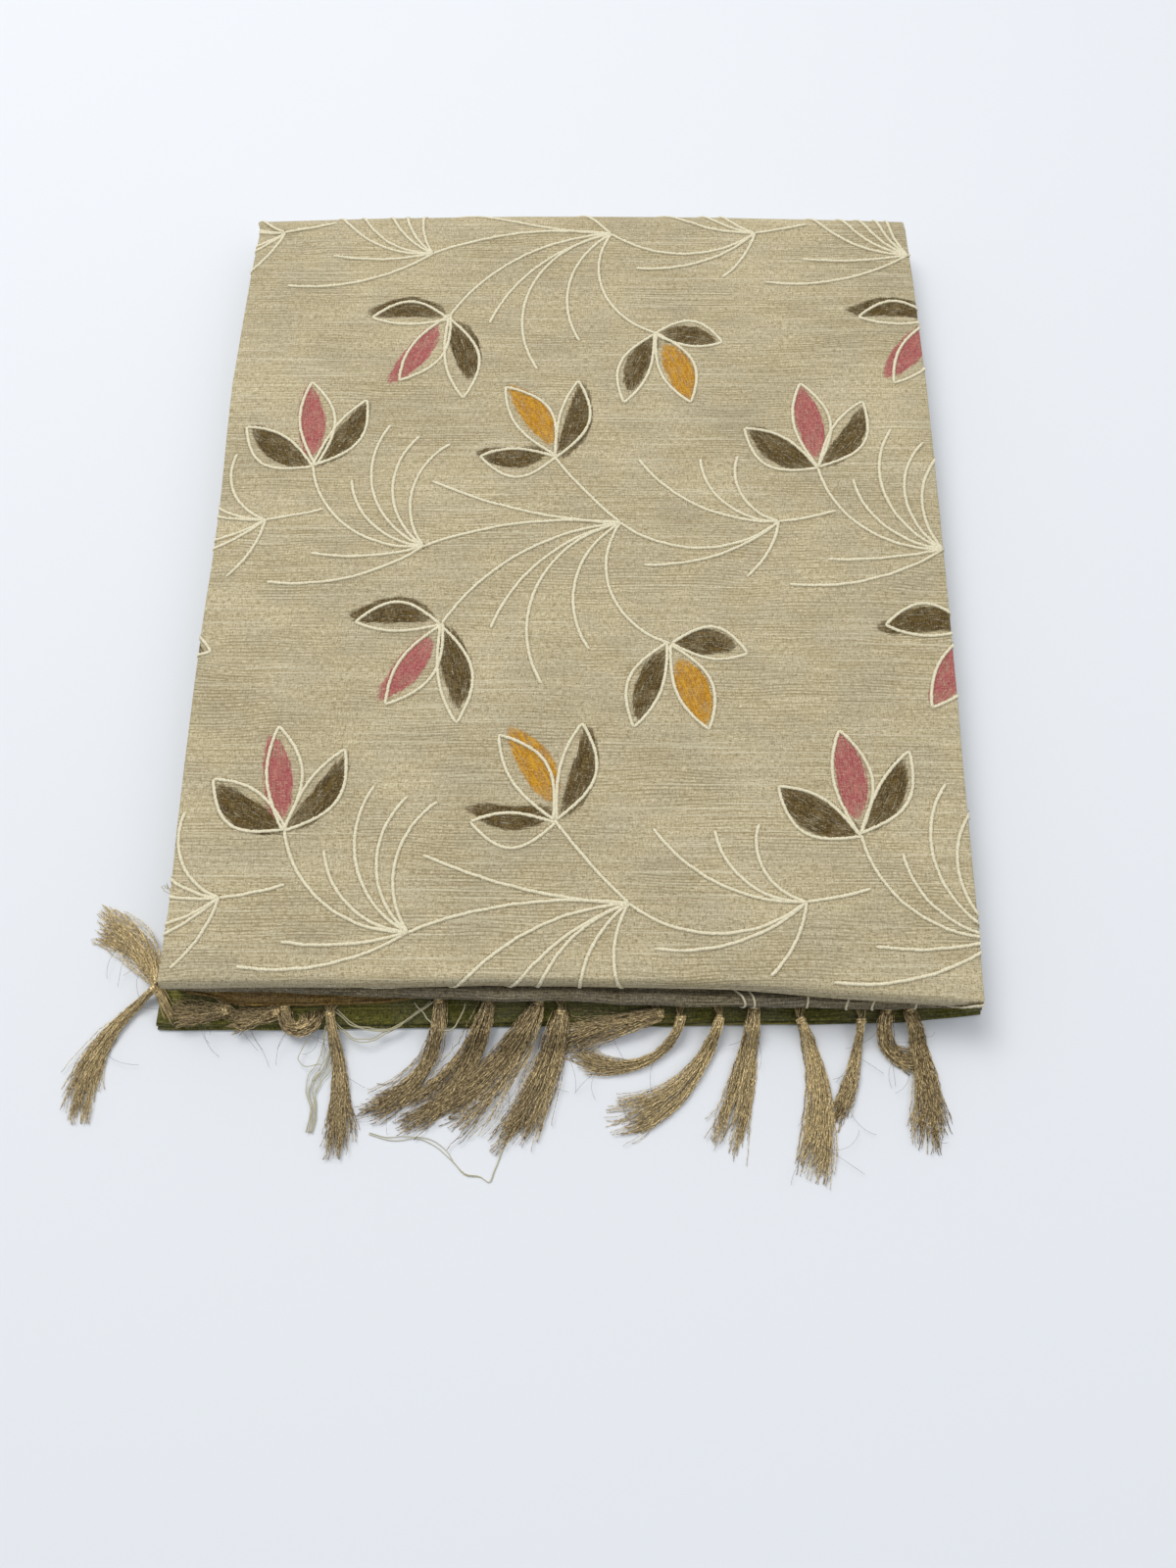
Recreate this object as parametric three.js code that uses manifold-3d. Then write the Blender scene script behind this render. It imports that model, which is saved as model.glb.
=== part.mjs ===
// A sari folded flat, with the tasselled end of its pallu at the front and its green blouse cloth folded
// beneath it. Millimetres: +X to the right, +Y from the tasselled front to the back fold, +Z up. The origin
// is on the flat underside, midway between the sides and between the front and back folds.

import * as THREE from "three";
import { mergeVertices } from "three/addons/utils/BufferGeometryUtils.js";
import Module from "manifold-3d";

const solids = await Module();
solids.setup();

// ---- Driving dimensions ----

const SARI_WIDTH = 1150; // selvedge to selvedge, folded in four
const SARI_LENGTH = 5520; // folded in sixteen
const FOLD_WIDTH = SARI_WIDTH / 4;
const FOLD_DEPTH = SARI_LENGTH / 16;
const BUNDLE_HEIGHT = 24;
const GAP = 0.3; // between pieces that lie on each other

const BLOUSE_PLY = 1; // a run of the blouse cloth
const PALLU_PLY = 1; // the hemmed end of the pallu
const PALLU_REACH = 110; // how far the pallu's end runs back under the bundle
const OUTER_PLY = 2; // the sari's outermost run, four plies of cloth pressed together
const RETURN_RUN = 40; // how far the outermost run turns back into the slit between the packs
const BACK_SEAM = 6; // where the two outermost runs meet, forward of the back fold's underside
const LAYERS_PER_BLOCK = 3; // layers that show at the sides, in each pack and between the packs
const LAYER_GROOVE = 1; // depth of the grooves between them
const BLOUSE_SETBACK = 12; // how far the blouse cloth's back edge lies inside the bundle's
const FREE_EDGE_SETBACK = 1.6; // how far its free edge lies behind its front fold

// The top face's soft hollows: how far they lie below the highest point, and how far it falls at the sides.
const TOP_HOLLOW = { mean: 0.3, swell: 0.18, at_side: 0.45, side_from: 0.9 };

const STRAND_RADIUS = 0.4;
const STRANDS_ABREAST = 4;
const STRAND_ROWS = 2;
const STRAND_ROW_RISE = 1.2;
const STRAND_NECK_HALF_WIDTH = 1.6;
const STRAND_TAPER = 0.35; // how much thinner a strand is at its tip
const ROOT_RISE = 0.8; // how far the strands rise to meet the middle of their knot
const ROOT_RISE_UNTIL = 0.3; // over this part of their length
const KNOT = { half_width: 2.6, half_length: 2.2, half_height: 1.9 };
const CLEAR_OF_FLOOR = 0.6;
const EDGE_DROP_START = 3.5; // how far a tassel runs on past the blouse cloth before it drops
const EDGE_DROP_LENGTH = 11;

// Heights of the pieces, from the surface up.
const BLOUSE_TOP = 3 * BLOUSE_PLY + 2 * GAP;
const PALLU_BOTTOM = BLOUSE_TOP + GAP;
const PACK_BOTTOM = PALLU_BOTTOM + PALLU_PLY + GAP;
const PACK_MIDDLE = (PACK_BOTTOM + BUNDLE_HEIGHT) / 2;
const PACK_RADIUS = (BUNDLE_HEIGHT - PACK_BOTTOM - GAP) / 4;
const BACK_RADIUS = (BUNDLE_HEIGHT - PACK_BOTTOM) / 2;

// How far the sides of the sari (left, right) and of its blouse cloth (blouse_left, blouse_right) stand off
// the middle line, as parts of half a fold's width, at each place along the depth.
const SIDES = [
  { y: -180, left: 0.992, right: 0.992, blouse_left: 1.035, blouse_right: 1.01 },
  { y: -174, left: 0.995, right: 0.996, blouse_left: 1.035, blouse_right: 1.032 },
  { y: -140, left: 0.99, right: 1.0, blouse_left: 1.03, blouse_right: 1.02 },
  { y: -95, left: 0.998, right: 1.002, blouse_left: 0.995, blouse_right: 0.99 },
  { y: -40, left: 1.0, right: 1.007, blouse_left: 0.985, blouse_right: 0.985 },
  { y: 15, left: 0.993, right: 1.009, blouse_left: 0.985, blouse_right: 0.985 },
  { y: 80, left: 1.003, right: 1.009, blouse_left: 0.985, blouse_right: 0.985 },
  { y: 132, left: 0.992, right: 1.001, blouse_left: 0.98, blouse_right: 0.98 },
  { y: 156, left: 0.968, right: 0.996, blouse_left: 0.96, blouse_right: 0.975 },
  { y: 174, left: 0.997, right: 0.99, blouse_left: 0.96, blouse_right: 0.97 },
];

// Front and back edges at each place across: the two packs' front folds, the pallu's hem, the blouse cloth's
// front fold and the back fold.
const ENDS = [
  { x: -150, upper: -171.5, lower: -170.0, pallu: -171.5, blouse: -183.0, back: 173.0 },
  { x: -120, upper: -171.0, lower: -170.5, pallu: -175.0, blouse: -183.2, back: 174.2 },
  { x: -75, upper: -170.5, lower: -171.5, pallu: -174.5, blouse: -182.4, back: 175.6 },
  { x: -20, upper: -169.5, lower: -172.8, pallu: -173.8, blouse: -181.0, back: 176.6 },
  { x: 40, upper: -170.5, lower: -173.8, pallu: -174.8, blouse: -180.2, back: 176.4 },
  { x: 95, upper: -173.5, lower: -174.6, pallu: -175.6, blouse: -179.0, back: 175.4 },
  { x: 130, upper: -176.0, lower: -174.6, pallu: -175.2, blouse: -177.8, back: 174.4 },
  { x: 150, upper: -177.0, lower: -174.0, pallu: -174.5, blouse: -173.5, back: 173.6 },
];

// Each tassel from its knot: where the knot lies, the way the threads leave it and how far they turn, both
// in degrees towards +X from straight forward, their length, and the width that they fan out to. A knot
// with no y lies against the pallu's hem.
const TASSELS = [
  { x: -147.2, y: -162.5, lean: -162, turn: 52, length: 38, fan: 11 },
  { x: -147.4, y: -168.4, lean: -62, turn: 56, length: 57, fan: 10 },
  { x: -126.5, lean: -84, turn: -8, length: 19, fan: 6 },
  { x: -108, lean: -74, turn: -12, length: 14, fan: 5 },
  { x: -102.5, lean: 0, turn: 190, length: 17, fan: 4 },
  { x: -86, lean: 16, turn: -14, length: 49, fan: 12 },
  { x: -47, lean: -5, turn: -68, length: 44, fan: 7 },
  { x: -30, lean: -12, turn: -54, length: 50, fan: 9 },
  { x: -12.5, lean: -16, turn: -46, length: 52, fan: 11 },
  { x: -3, lean: -8, turn: -32, length: 53, fan: 11 },
  { x: 28, lean: -56, turn: -26, length: 28, fan: 8 },
  { x: 40, lean: -8, turn: -116, length: 49, fan: 6 },
  { x: 54, lean: -15, turn: -65, length: 57, fan: 9 },
  { x: 66, lean: -8, turn: -14, length: 45, fan: 10 },
  { x: 83, lean: 24, turn: -46, length: 53, fan: 13 },
  { x: 104.5, lean: 0, turn: -20, length: 34, fan: 5 },
  { x: 113, lean: -10, turn: 100, length: 17, fan: 5 },
  { x: 123, lean: 22, turn: -24, length: 43, fan: 12 },
];

// ---- Reading the tables ----

/** One column of a table at any place along it, easing from each row to the next. */
function along(table, key, place, column) {
  const last = table.length - 1;
  const clamped = THREE.MathUtils.clamp(place, table[0][key], table[last][key]);
  const next = Math.max(1, table.findIndex((row) => row[key] >= clamped));
  const [before, after] = [table[next - 1], table[next]];
  const t = THREE.MathUtils.smoothstep(clamped, before[key], after[key]);
  return THREE.MathUtils.lerp(before[column], after[column], t);
}

/** The distance across at a place u, from -1 at the left side to 1 at the right. */
function across(u, y, leftColumn = "left", rightColumn = "right") {
  const column = u < 0 ? leftColumn : rightColumn;
  return (u * FOLD_WIDTH * along(SIDES, "y", y, column)) / 2;
}

/** A front or back edge at a place u across. */
function edge(u, column) {
  return along(ENDS, "x", (u * FOLD_WIDTH) / 2, column);
}

// ---- Building closed bodies ----

/** A closed body from rings of points: its sides join each ring to the next, and each end has its cap. */
function body(rings, cap) {
  const size = rings[0].length;
  const faces = [];
  for (let r = 0; r + 1 < rings.length; r += 1) {
    for (let k = 0; k < size; k += 1) {
      const [a, b] = [r * size + k, r * size + ((k + 1) % size)];
      faces.push([a, b, b + size], [a, b + size, a + size]);
    }
  }
  const last = (rings.length - 1) * size;
  for (const [a, b, c] of cap) {
    faces.push([c, b, a], [a + last, b + last, c + last]);
  }
  const points = rings.flat();
  const volume = faces.reduce((sum, face) => {
    const [a, b, c] = face.map((k) => points[k]);
    return sum + a.dot(b.clone().cross(c));
  }, 0);
  const outward = volume > 0 ? faces : faces.map(([a, b, c]) => [c, b, a]);
  const geometry = new THREE.BufferGeometry().setFromPoints(points);
  geometry.setIndex(outward.flat());
  return geometry;
}

/** A closed mesh as a solid that can be joined to others. */
function solid(geometry) {
  const bare = geometry.clone();
  bare.deleteAttribute("normal");
  bare.deleteAttribute("uv");
  const merged = mergeVertices(bare);
  return new solids.Manifold(new solids.Mesh({
    numProp: 3,
    vertProperties: Float32Array.from(merged.attributes.position.array),
    triVerts: Uint32Array.from(merged.index.array),
  }));
}

/** Several closed meshes joined into one, without the empty slivers that faces in one plane can leave. */
function joined(geometries) {
  const whole = geometries.map(solid).reduce((sum, next) => sum.add(next));
  const bodies = whole.decompose().sort((a, b) => b.volume() - a.volume());
  const mesh = bodies[0].getMesh();
  const geometry = new THREE.BufferGeometry();
  geometry.setAttribute("position", new THREE.BufferAttribute(Float32Array.from(mesh.vertProperties), 3));
  geometry.setIndex(Array.from(mesh.triVerts));
  return geometry;
}

// ---- Folded walls ----
// A wall of cloth follows a path in the plane of depth and height. Each point of the path is on the middle of
// the wall, with the direction (ny, nz) of the wall's outer face.

/** A level stretch; facing is 1 where the outer face looks up and -1 where it looks down. */
function run(from, to, z, facing, steps) {
  return Array.from({ length: steps + 1 }, (_, k) => ({
    y: THREE.MathUtils.lerp(from, to, k / steps),
    z,
    ny: 0,
    nz: facing,
  }));
}

/** A fold around a centre, between two angles in degrees; its outer face looks out of it, or into it. */
function turn(y, z, radius, from, to, steps, facing = 1) {
  return Array.from({ length: steps + 1 }, (_, k) => {
    const angle = THREE.MathUtils.degToRad(THREE.MathUtils.lerp(from, to, k / steps));
    const [cos, sin] = [Math.cos(angle), Math.sin(angle)];
    return { y: y + radius * cos, z: z + radius * sin, ny: facing * cos, nz: facing * sin };
  });
}

/** Leaves out points that coincide with the one before. */
function path(...stretches) {
  const close = (a, b) => Math.hypot(a.y - b.y, a.z - b.z) < GAP / 10;
  return stretches.flat().filter((point, k, all) => k === 0 || !close(point, all[k - 1]));
}

const STATIONS = Array.from({ length: 11 }, (_, k) => k / 5 - 1);

/** A wall of cloth along pathAt(u), with rounded side edges; relief lowers its outer face. */
function wall(pathAt, ply, sides, relief = () => 0) {
  const paths = STATIONS.map(pathAt);
  const half = ply / 2;
  const face = (point, u, side) => {
    const y = point.y + side * half * point.ny;
    const x = across(u, y, ...sides) * (1 - half / FOLD_WIDTH);
    const drop = side > 0 ? relief(x, y, point.nz) : 0;
    return new THREE.Vector3(x, y, point.z + side * half * point.nz - drop);
  };
  const count = STATIONS.length;
  const rings = paths[0].map((_, i) => {
    const outer = STATIONS.map((u, j) => face(paths[j][i], u, 1));
    const inner = STATIONS.map((u, j) => face(paths[j][i], u, -1));
    const rim = (j) => {
      const middle = outer[j].clone().lerp(inner[j], 0.5);
      middle.x += STATIONS[j] * half;
      return middle;
    };
    return [...outer, rim(count - 1), ...inner.slice().reverse(), rim(0)];
  });
  const cap = [];
  for (let j = 0; j + 1 < count; j += 1) {
    const [a, b, c, d] = [j, j + 1, 2 * count - 1 - j, 2 * count - j];
    cap.push([a, b, c], [a, c, d]);
  }
  cap.push([count - 1, count, count + 1], [2 * count, 2 * count + 1, 0]);
  return body(rings, cap);
}

/** The soft hollows of the top face, deepest where it rounds over at the sides. */
function topRelief(x, y, nz) {
  const half = FOLD_WIDTH / 2;
  const swell = Math.sin(x / 47 + 0.6) * Math.sin(y / 61 - 0.4) + 0.6 * Math.sin(x / 29 - y / 83);
  const toSide = THREE.MathUtils.smoothstep(Math.abs(x), TOP_HOLLOW.side_from * half, half);
  const level = THREE.MathUtils.smoothstep(nz, 0.8, 1);
  return level * (TOP_HOLLOW.mean + TOP_HOLLOW.swell * swell + TOP_HOLLOW.at_side * toSide);
}

/** The outermost run over the upper pack: out of the slit, round the front, over the top, down the back. */
function upperFold() {
  const middle = OUTER_PLY / 2;
  const radius = PACK_RADIUS - middle;
  const pathAt = (u) => {
    const front = edge(u, "upper") + PACK_RADIUS;
    const back = edge(u, "back") - BACK_RADIUS;
    const slit = PACK_MIDDLE + GAP / 2 + middle;
    const seam = back - BACK_SEAM;
    return path(
      run(front + RETURN_RUN, front, slit, -1, 2),
      turn(front, BUNDLE_HEIGHT - PACK_RADIUS, radius, -90, -270, 7),
      run(front, back, BUNDLE_HEIGHT - middle, 1, 12),
      turn(back, PACK_MIDDLE, BACK_RADIUS - middle, 90, -90, 9),
      run(back, seam, PACK_BOTTOM + middle, -1, 1),
    );
  };
  return wall(pathAt, OUTER_PLY, ["left", "right"], topRelief);
}

/** The outermost run under the lower pack: along the bottom, round the front and back into the slit. */
function lowerFold() {
  const middle = OUTER_PLY / 2;
  const pathAt = (u) => {
    const front = edge(u, "lower") + PACK_RADIUS;
    const seam = edge(u, "back") - BACK_RADIUS - BACK_SEAM - GAP;
    const slit = PACK_MIDDLE - GAP / 2 - middle;
    return path(
      run(seam, front, PACK_BOTTOM + middle, -1, 5),
      turn(front, PACK_BOTTOM + PACK_RADIUS, PACK_RADIUS - middle, -90, -270, 7),
      run(front, front + RETURN_RUN, slit, 1, 2),
    );
  };
  return wall(pathAt, OUTER_PLY, ["left", "right"]);
}

/** The hemmed end of the pallu, flat under the bundle. */
function palluEnd() {
  const pathAt = (u) => {
    const front = edge(u, "pallu");
    return run(front + PALLU_REACH, front, PALLU_BOTTOM + PALLU_PLY / 2, -1, 4);
  };
  return wall(pathAt, PALLU_PLY, ["left", "right"]);
}

/** The blouse cloth in three runs, one front fold below and the free edge above. */
function blousePiece() {
  const middle = BLOUSE_PLY / 2;
  const pitch = BLOUSE_PLY + GAP;
  const depth = FOLD_DEPTH / 2 - BLOUSE_SETBACK;
  const pathAt = (u) => {
    const front = edge(u, "blouse") + pitch / 2 + middle;
    return path(
      run(depth, front, middle, -1, 5),
      turn(front, middle + pitch / 2, pitch / 2, -90, -270, 3),
      run(front, depth, middle + pitch, 1, 5),
      turn(depth, middle + 1.5 * pitch, pitch / 2, -90, 90, 3, -1),
      run(depth, front - middle + FREE_EDGE_SETBACK, middle + 2 * pitch, -1, 5),
    );
  };
  return wall(pathAt, BLOUSE_PLY, ["blouse_left", "blouse_right"]);
}

// ---- Hidden layers ----

/** A block of layers between two heights, grooved between them all round, with its front at frontAt(u, z). */
function layerBlock(bottom, top, frontAt) {
  const inner = BACK_RADIUS - OUTER_PLY - GAP;
  const levels = 2 * LAYERS_PER_BLOCK;
  const sideSteps = 9;
  const rings = Array.from({ length: levels + 1 }, (_, k) => {
    const z = THREE.MathUtils.lerp(bottom, top, k / levels);
    const inset = GAP + (k % 2 === 0 ? LAYER_GROOVE : 0);
    const scale = 1 - (2 * inset) / FOLD_WIDTH;
    const bulge = Math.sqrt(Math.max(inner ** 2 - (z - PACK_MIDDLE) ** 2, 0));
    const backAt = (u) => edge(u, "back") - BACK_RADIUS + bulge;
    const at = (u, y) => new THREE.Vector3(across(u, y) * scale, y, z);
    const places = Array.from({ length: sideSteps - 1 }, (_unused, step) => (step + 1) / sideSteps);
    const side = (u, from, to) => places.map((place) => at(u, THREE.MathUtils.lerp(from, to, place)));
    const end = (yAt) => STATIONS.map((u) => at(u, yAt(u)));
    const front = end((u) => frontAt(u, z));
    const back = end(backAt);
    return [
      ...front,
      ...side(1, frontAt(1, z), backAt(1)),
      ...back.reverse(),
      ...side(-1, backAt(-1), frontAt(-1, z)),
    ];
  });
  const outline = rings[0].map((point) => new THREE.Vector2(point.x, point.y));
  const cap = THREE.ShapeUtils.triangulateShape(outline, []);
  return body(rings, cap);
}

/** All the runs inside the outermost one: two packs of layers that turn round together at the back. */
function hiddenLayers() {
  const inside = OUTER_PLY + GAP;
  const tongueRadius = PACK_RADIUS - inside;
  const rounded = (column, middle) => (u, z) => {
    const rise = Math.min(Math.abs(z - middle), tongueRadius);
    return edge(u, column) + inside + tongueRadius - Math.sqrt(tongueRadius ** 2 - rise ** 2);
  };
  const lowerMiddle = PACK_BOTTOM + PACK_RADIUS;
  const upperMiddle = BUNDLE_HEIGHT - PACK_RADIUS;
  const notch = (u) => Math.max(edge(u, "upper"), edge(u, "lower")) + PACK_RADIUS + RETURN_RUN + GAP;
  const overlap = 0.2;
  const lowerTop = lowerMiddle + tongueRadius;
  const upperBottom = upperMiddle - tongueRadius;
  return joined([
    layerBlock(lowerMiddle - tongueRadius, lowerTop, rounded("lower", lowerMiddle)),
    layerBlock(lowerTop - overlap, upperBottom + overlap, notch),
    layerBlock(upperBottom, upperMiddle + tongueRadius, rounded("upper", upperMiddle)),
  ]);
}

// ---- Tassels ----

/** A tassel's line in plan: it leaves its knot at the angle lean, and turns evenly over its length. */
function tasselLine({ x, y, lean, turn: bend, length }) {
  const steps = 48;
  const againstHem = edge((2 * x) / FOLD_WIDTH, "pallu") - GAP - KNOT.half_length;
  const points = [new THREE.Vector2(x, y ?? againstHem)];
  for (let k = 0; k < steps; k += 1) {
    const angle = THREE.MathUtils.degToRad(lean + (bend * (k + 0.5)) / steps);
    const step = new THREE.Vector2(Math.sin(angle), -Math.cos(angle)).multiplyScalar(length / steps);
    points.push(points[k].clone().add(step));
  }
  return points;
}

/** The height of a tassel's middle: on the blouse cloth near the knot, and near the floor past its edge. */
function tasselHeight(point, travelled) {
  const u = (2 * point.x) / FOLD_WIDTH;
  const rowRise = (STRAND_ROW_RISE * (STRAND_ROWS - 1)) / 2 + STRAND_RADIUS;
  const onCloth = BLOUSE_TOP + GAP + rowRise;
  const onFloor = CLEAR_OF_FLOOR + rowRise;
  const pastFront = edge(u, "blouse") - EDGE_DROP_START - point.y;
  const sideEdge = across(-1, point.y, "blouse_left", "blouse_right");
  const pastSide = sideEdge - EDGE_DROP_START - point.x;
  const past = Math.max(pastFront, pastSide) / EDGE_DROP_LENGTH;
  const rise = ROOT_RISE * (1 - THREE.MathUtils.smoothstep(travelled, 0, ROOT_RISE_UNTIL));
  return THREE.MathUtils.lerp(onCloth, onFloor, THREE.MathUtils.smoothstep(past, 0, 1)) + rise;
}

/** One tapering three-sided strand, from inside the knot to its tip. */
function strand(line, fan, lane, row, reach) {
  const places = [0, 0.16, 0.34, 0.62, 1];
  const rings = places.map((place) => {
    const at = place * reach * (line.length - 1);
    const k = Math.min(Math.floor(at), line.length - 2);
    const point = line[k].clone().lerp(line[k + 1], at - k);
    const ahead = line[k + 1].clone().sub(line[k]).normalize();
    const sideways = new THREE.Vector2(-ahead.y, ahead.x);
    const halfWidth = THREE.MathUtils.lerp(STRAND_NECK_HALF_WIDTH, fan / 2, place);
    point.addScaledVector(sideways, lane * halfWidth);
    const z = tasselHeight(point, place) + row * STRAND_ROW_RISE;
    const radius = STRAND_RADIUS * (1 - STRAND_TAPER * place);
    return [90, 210, 330].map((degrees) => {
      const angle = THREE.MathUtils.degToRad(degrees);
      const out = radius * Math.cos(angle);
      return new THREE.Vector3(
        point.x + out * sideways.x,
        point.y + out * sideways.y,
        z + radius * Math.sin(angle),
      );
    });
  });
  return body(rings, [[0, 1, 2]]);
}

/** A knot with its strands rooted in it. */
function tassel(row) {
  const line = tasselLine(row);
  const knot = new THREE.SphereGeometry(1, 7, 4);
  knot.scale(KNOT.half_width, KNOT.half_length, KNOT.half_height);
  knot.rotateZ(THREE.MathUtils.degToRad(row.lean));
  knot.translate(line[0].x, line[0].y, BLOUSE_TOP + GAP + KNOT.half_height);
  const strands = [];
  for (let k = 0; k < STRANDS_ABREAST * STRAND_ROWS; k += 1) {
    const rank = Math.floor(k / STRANDS_ABREAST);
    const lane = ((k % STRANDS_ABREAST) + (rank % 2 ? 0.25 : -0.25)) / ((STRANDS_ABREAST - 1) / 2) - 1;
    const reach = 1 - 0.035 * ((k * 7) % 5);
    strands.push(strand(line, row.fan, lane, rank - (STRAND_ROWS - 1) / 2, reach));
  }
  return joined([knot, ...strands]);
}

// ---- The bundle ----

const CLOTH = { color: 0xb9aa8a, roughness: 0.85, metalness: 0 };
const LAYERS = { color: 0xa39678, roughness: 0.9, metalness: 0 };
const HEM = { color: 0x8f7340, roughness: 0.6, metalness: 0.2 };
const GREEN = { color: 0x5f641e, roughness: 0.8, metalness: 0 };
const THREADS = { color: 0xaa8c64, roughness: 0.45, metalness: 0.35 };

function piece(name, geometry, finish) {
  const mesh = new THREE.Mesh(geometry, new THREE.MeshStandardMaterial(finish));
  mesh.name = name;
  return mesh;
}

const sari = new THREE.Group();
sari.add(
  piece("upper_fold", upperFold(), CLOTH),
  piece("lower_fold", lowerFold(), CLOTH),
  piece("hidden_layers", hiddenLayers(), LAYERS),
  piece("pallu_end", palluEnd(), HEM),
  piece("blouse_piece", blousePiece(), GREEN),
);
TASSELS.forEach((row, k) => {
  sari.add(piece(`tassel_${String(k + 1).padStart(2, "0")}`, tassel(row), THREADS));
});

export default sari;
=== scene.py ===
"""The looks of a folded sari: its cloth, painted petals, embroidery, layered edges, blouse cloth and tassels.

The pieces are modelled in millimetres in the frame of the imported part, and build() turns them into metres.
The floor and the lights are placed in metres.
"""

import math

import bpy
import numpy as np
from mathutils import Matrix, Vector


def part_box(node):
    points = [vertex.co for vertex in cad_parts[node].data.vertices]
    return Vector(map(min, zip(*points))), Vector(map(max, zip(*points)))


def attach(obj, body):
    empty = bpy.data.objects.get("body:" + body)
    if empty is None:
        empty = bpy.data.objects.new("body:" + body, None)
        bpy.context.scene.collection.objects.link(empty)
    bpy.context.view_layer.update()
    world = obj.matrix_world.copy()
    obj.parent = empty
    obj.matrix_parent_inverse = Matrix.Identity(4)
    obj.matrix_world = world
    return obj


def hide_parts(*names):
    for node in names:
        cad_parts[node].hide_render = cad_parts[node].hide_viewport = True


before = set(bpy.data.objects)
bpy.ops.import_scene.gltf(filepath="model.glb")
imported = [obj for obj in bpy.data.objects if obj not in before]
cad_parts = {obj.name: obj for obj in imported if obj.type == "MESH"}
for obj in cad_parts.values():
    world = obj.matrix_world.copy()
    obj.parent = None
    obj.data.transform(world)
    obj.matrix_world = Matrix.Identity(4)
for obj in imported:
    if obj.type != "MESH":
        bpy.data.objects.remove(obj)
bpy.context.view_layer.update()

MM = 0.001

# ---- Driving dimensions, in millimetres ----

RUNS = 16  # the sari's length is folded in sixteen
PLY = 0.36  # the thickness of the sari's sheets that show
PLY_SHARE = 0.8  # of a run's height that the pallu's and the blouse cloth fill
HALF_WIDTH = 143  # about how far out the side edges lie
FRONT_LINE = -169  # about where the upper pack's front lies
BACK_LINE = 175  # about where the back lies
BUNDLE_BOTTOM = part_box("pallu_end")[0].z / MM
BUNDLE_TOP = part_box("upper_fold")[1].z / MM
PITCH = (BUNDLE_TOP - BUNDLE_BOTTOM) / RUNS  # a run of four plies
EDGE_RADIUS = PITCH / 2  # of the folded side edges
FRONT_REACH = 3.8  # how far the upper fold rounds out at the front
SLIT_RETURN = 24  # how much of the run in the slit is modelled
BOTTOM_RETURN = 20  # how much of the run under the bundle
WRAP_UNDER = 5  # how far the outer cloth turns in under its side edges
TOP_GRID = 1.75  # spacing of the outer cloth's mesh, finer where it turns
FOLLOW_REACH = 160  # its rows follow the front's line before minus this, and the back's line after this

BLOUSE_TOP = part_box("blouse_piece")[1].z / MM
BLOUSE_RUNS = 4  # two to each front fold
BLOUSE_PITCH = BLOUSE_TOP / BLOUSE_RUNS
BLOUSE_BACK = 172  # the line that its back is measured from
BLOUSE_BACK_INSET = 14  # how far before that line its runs end
BLOUSE_SETBACKS = (0, 1.1)  # how far its two front folds are set back, the lower one first

THREAD_WIDTH = 1.45
THREAD_HEIGHT = 0.6
STITCH_PITCH = 0.85  # between the stitches that hold the thread down
THREAD_ANGLES = (-15, 50, 130, 195, 270)  # where its points lie round it, in degrees
SHADOW_MARK_WIDTH = 0.34  # of the dark needle mark beside each stitch: the pulled weave, with painted shade there


# ---- Tables, curves and meshes ----

def table(columns, *rows):
    """Rows of values as dictionaries, by the names of their columns."""
    return [dict(zip(columns.split(), row)) for row in rows]


def eased(share):
    """A share from 0 to 1, with a soft start and a soft end."""
    return share * share * (3 - 2 * share)


def so_far(steps):
    """How far along each point lies, from the steps between the points."""
    return np.concatenate([np.zeros_like(steps[:1]), np.cumsum(steps, axis=0)])


def unit(vectors):
    length = np.linalg.norm(vectors, axis=-1, keepdims=True)
    return vectors / np.maximum(length, 1e-9)


def put_in_scene(name, data):
    thing = bpy.data.objects.new(name, data)
    bpy.context.scene.collection.objects.link(thing)
    return thing


def build(name, points, faces, material, replaces=(), uv=None, values=None):
    """One object from points in millimetres and faces given as arrays of quads or triangles."""
    mesh = bpy.data.meshes.new(name)
    points = np.asarray(points, float).reshape(-1, 3) * MM
    faces = [np.asarray(f, np.int32) for f in (faces if isinstance(faces, list) else [faces])]
    sizes = np.concatenate([np.full(len(f), f.shape[1], np.int32) for f in faces])
    corners = np.concatenate([f.ravel() for f in faces])
    mesh.vertices.add(len(points))
    mesh.vertices.foreach_set("co", points.ravel())
    mesh.loops.add(len(corners))
    mesh.polygons.add(len(sizes))
    mesh.polygons.foreach_set("loop_start", so_far(sizes)[:-1].astype(np.int32))
    mesh.loops.foreach_set("vertex_index", corners)
    mesh.update(calc_edges=True)
    if uv is not None:
        layer = mesh.uv_layers.new(name="cloth")
        layer.data.foreach_set("uv", (np.asarray(uv, float) * MM)[corners].ravel())
    for key, value in (values or {}).items():
        attribute = mesh.attributes.new(key, "FLOAT", "POINT")
        attribute.data.foreach_set("value", np.asarray(value, np.float32).ravel())
    mesh.validate()
    mesh.shade_smooth()
    mesh.materials.append(material)
    piece = put_in_scene(name, mesh)
    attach(piece, "root")
    if replaces:
        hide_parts(*replaces)
    return piece


def grid_faces(rows, columns, offset=0, turned=False):
    index = np.arange(rows * columns).reshape(rows, columns) + offset
    quads = np.stack([index[:-1, :-1], index[1:, :-1], index[1:, 1:], index[:-1, 1:]], -1).reshape(-1, 4)
    return quads[:, ::-1] if turned else quads


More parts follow.
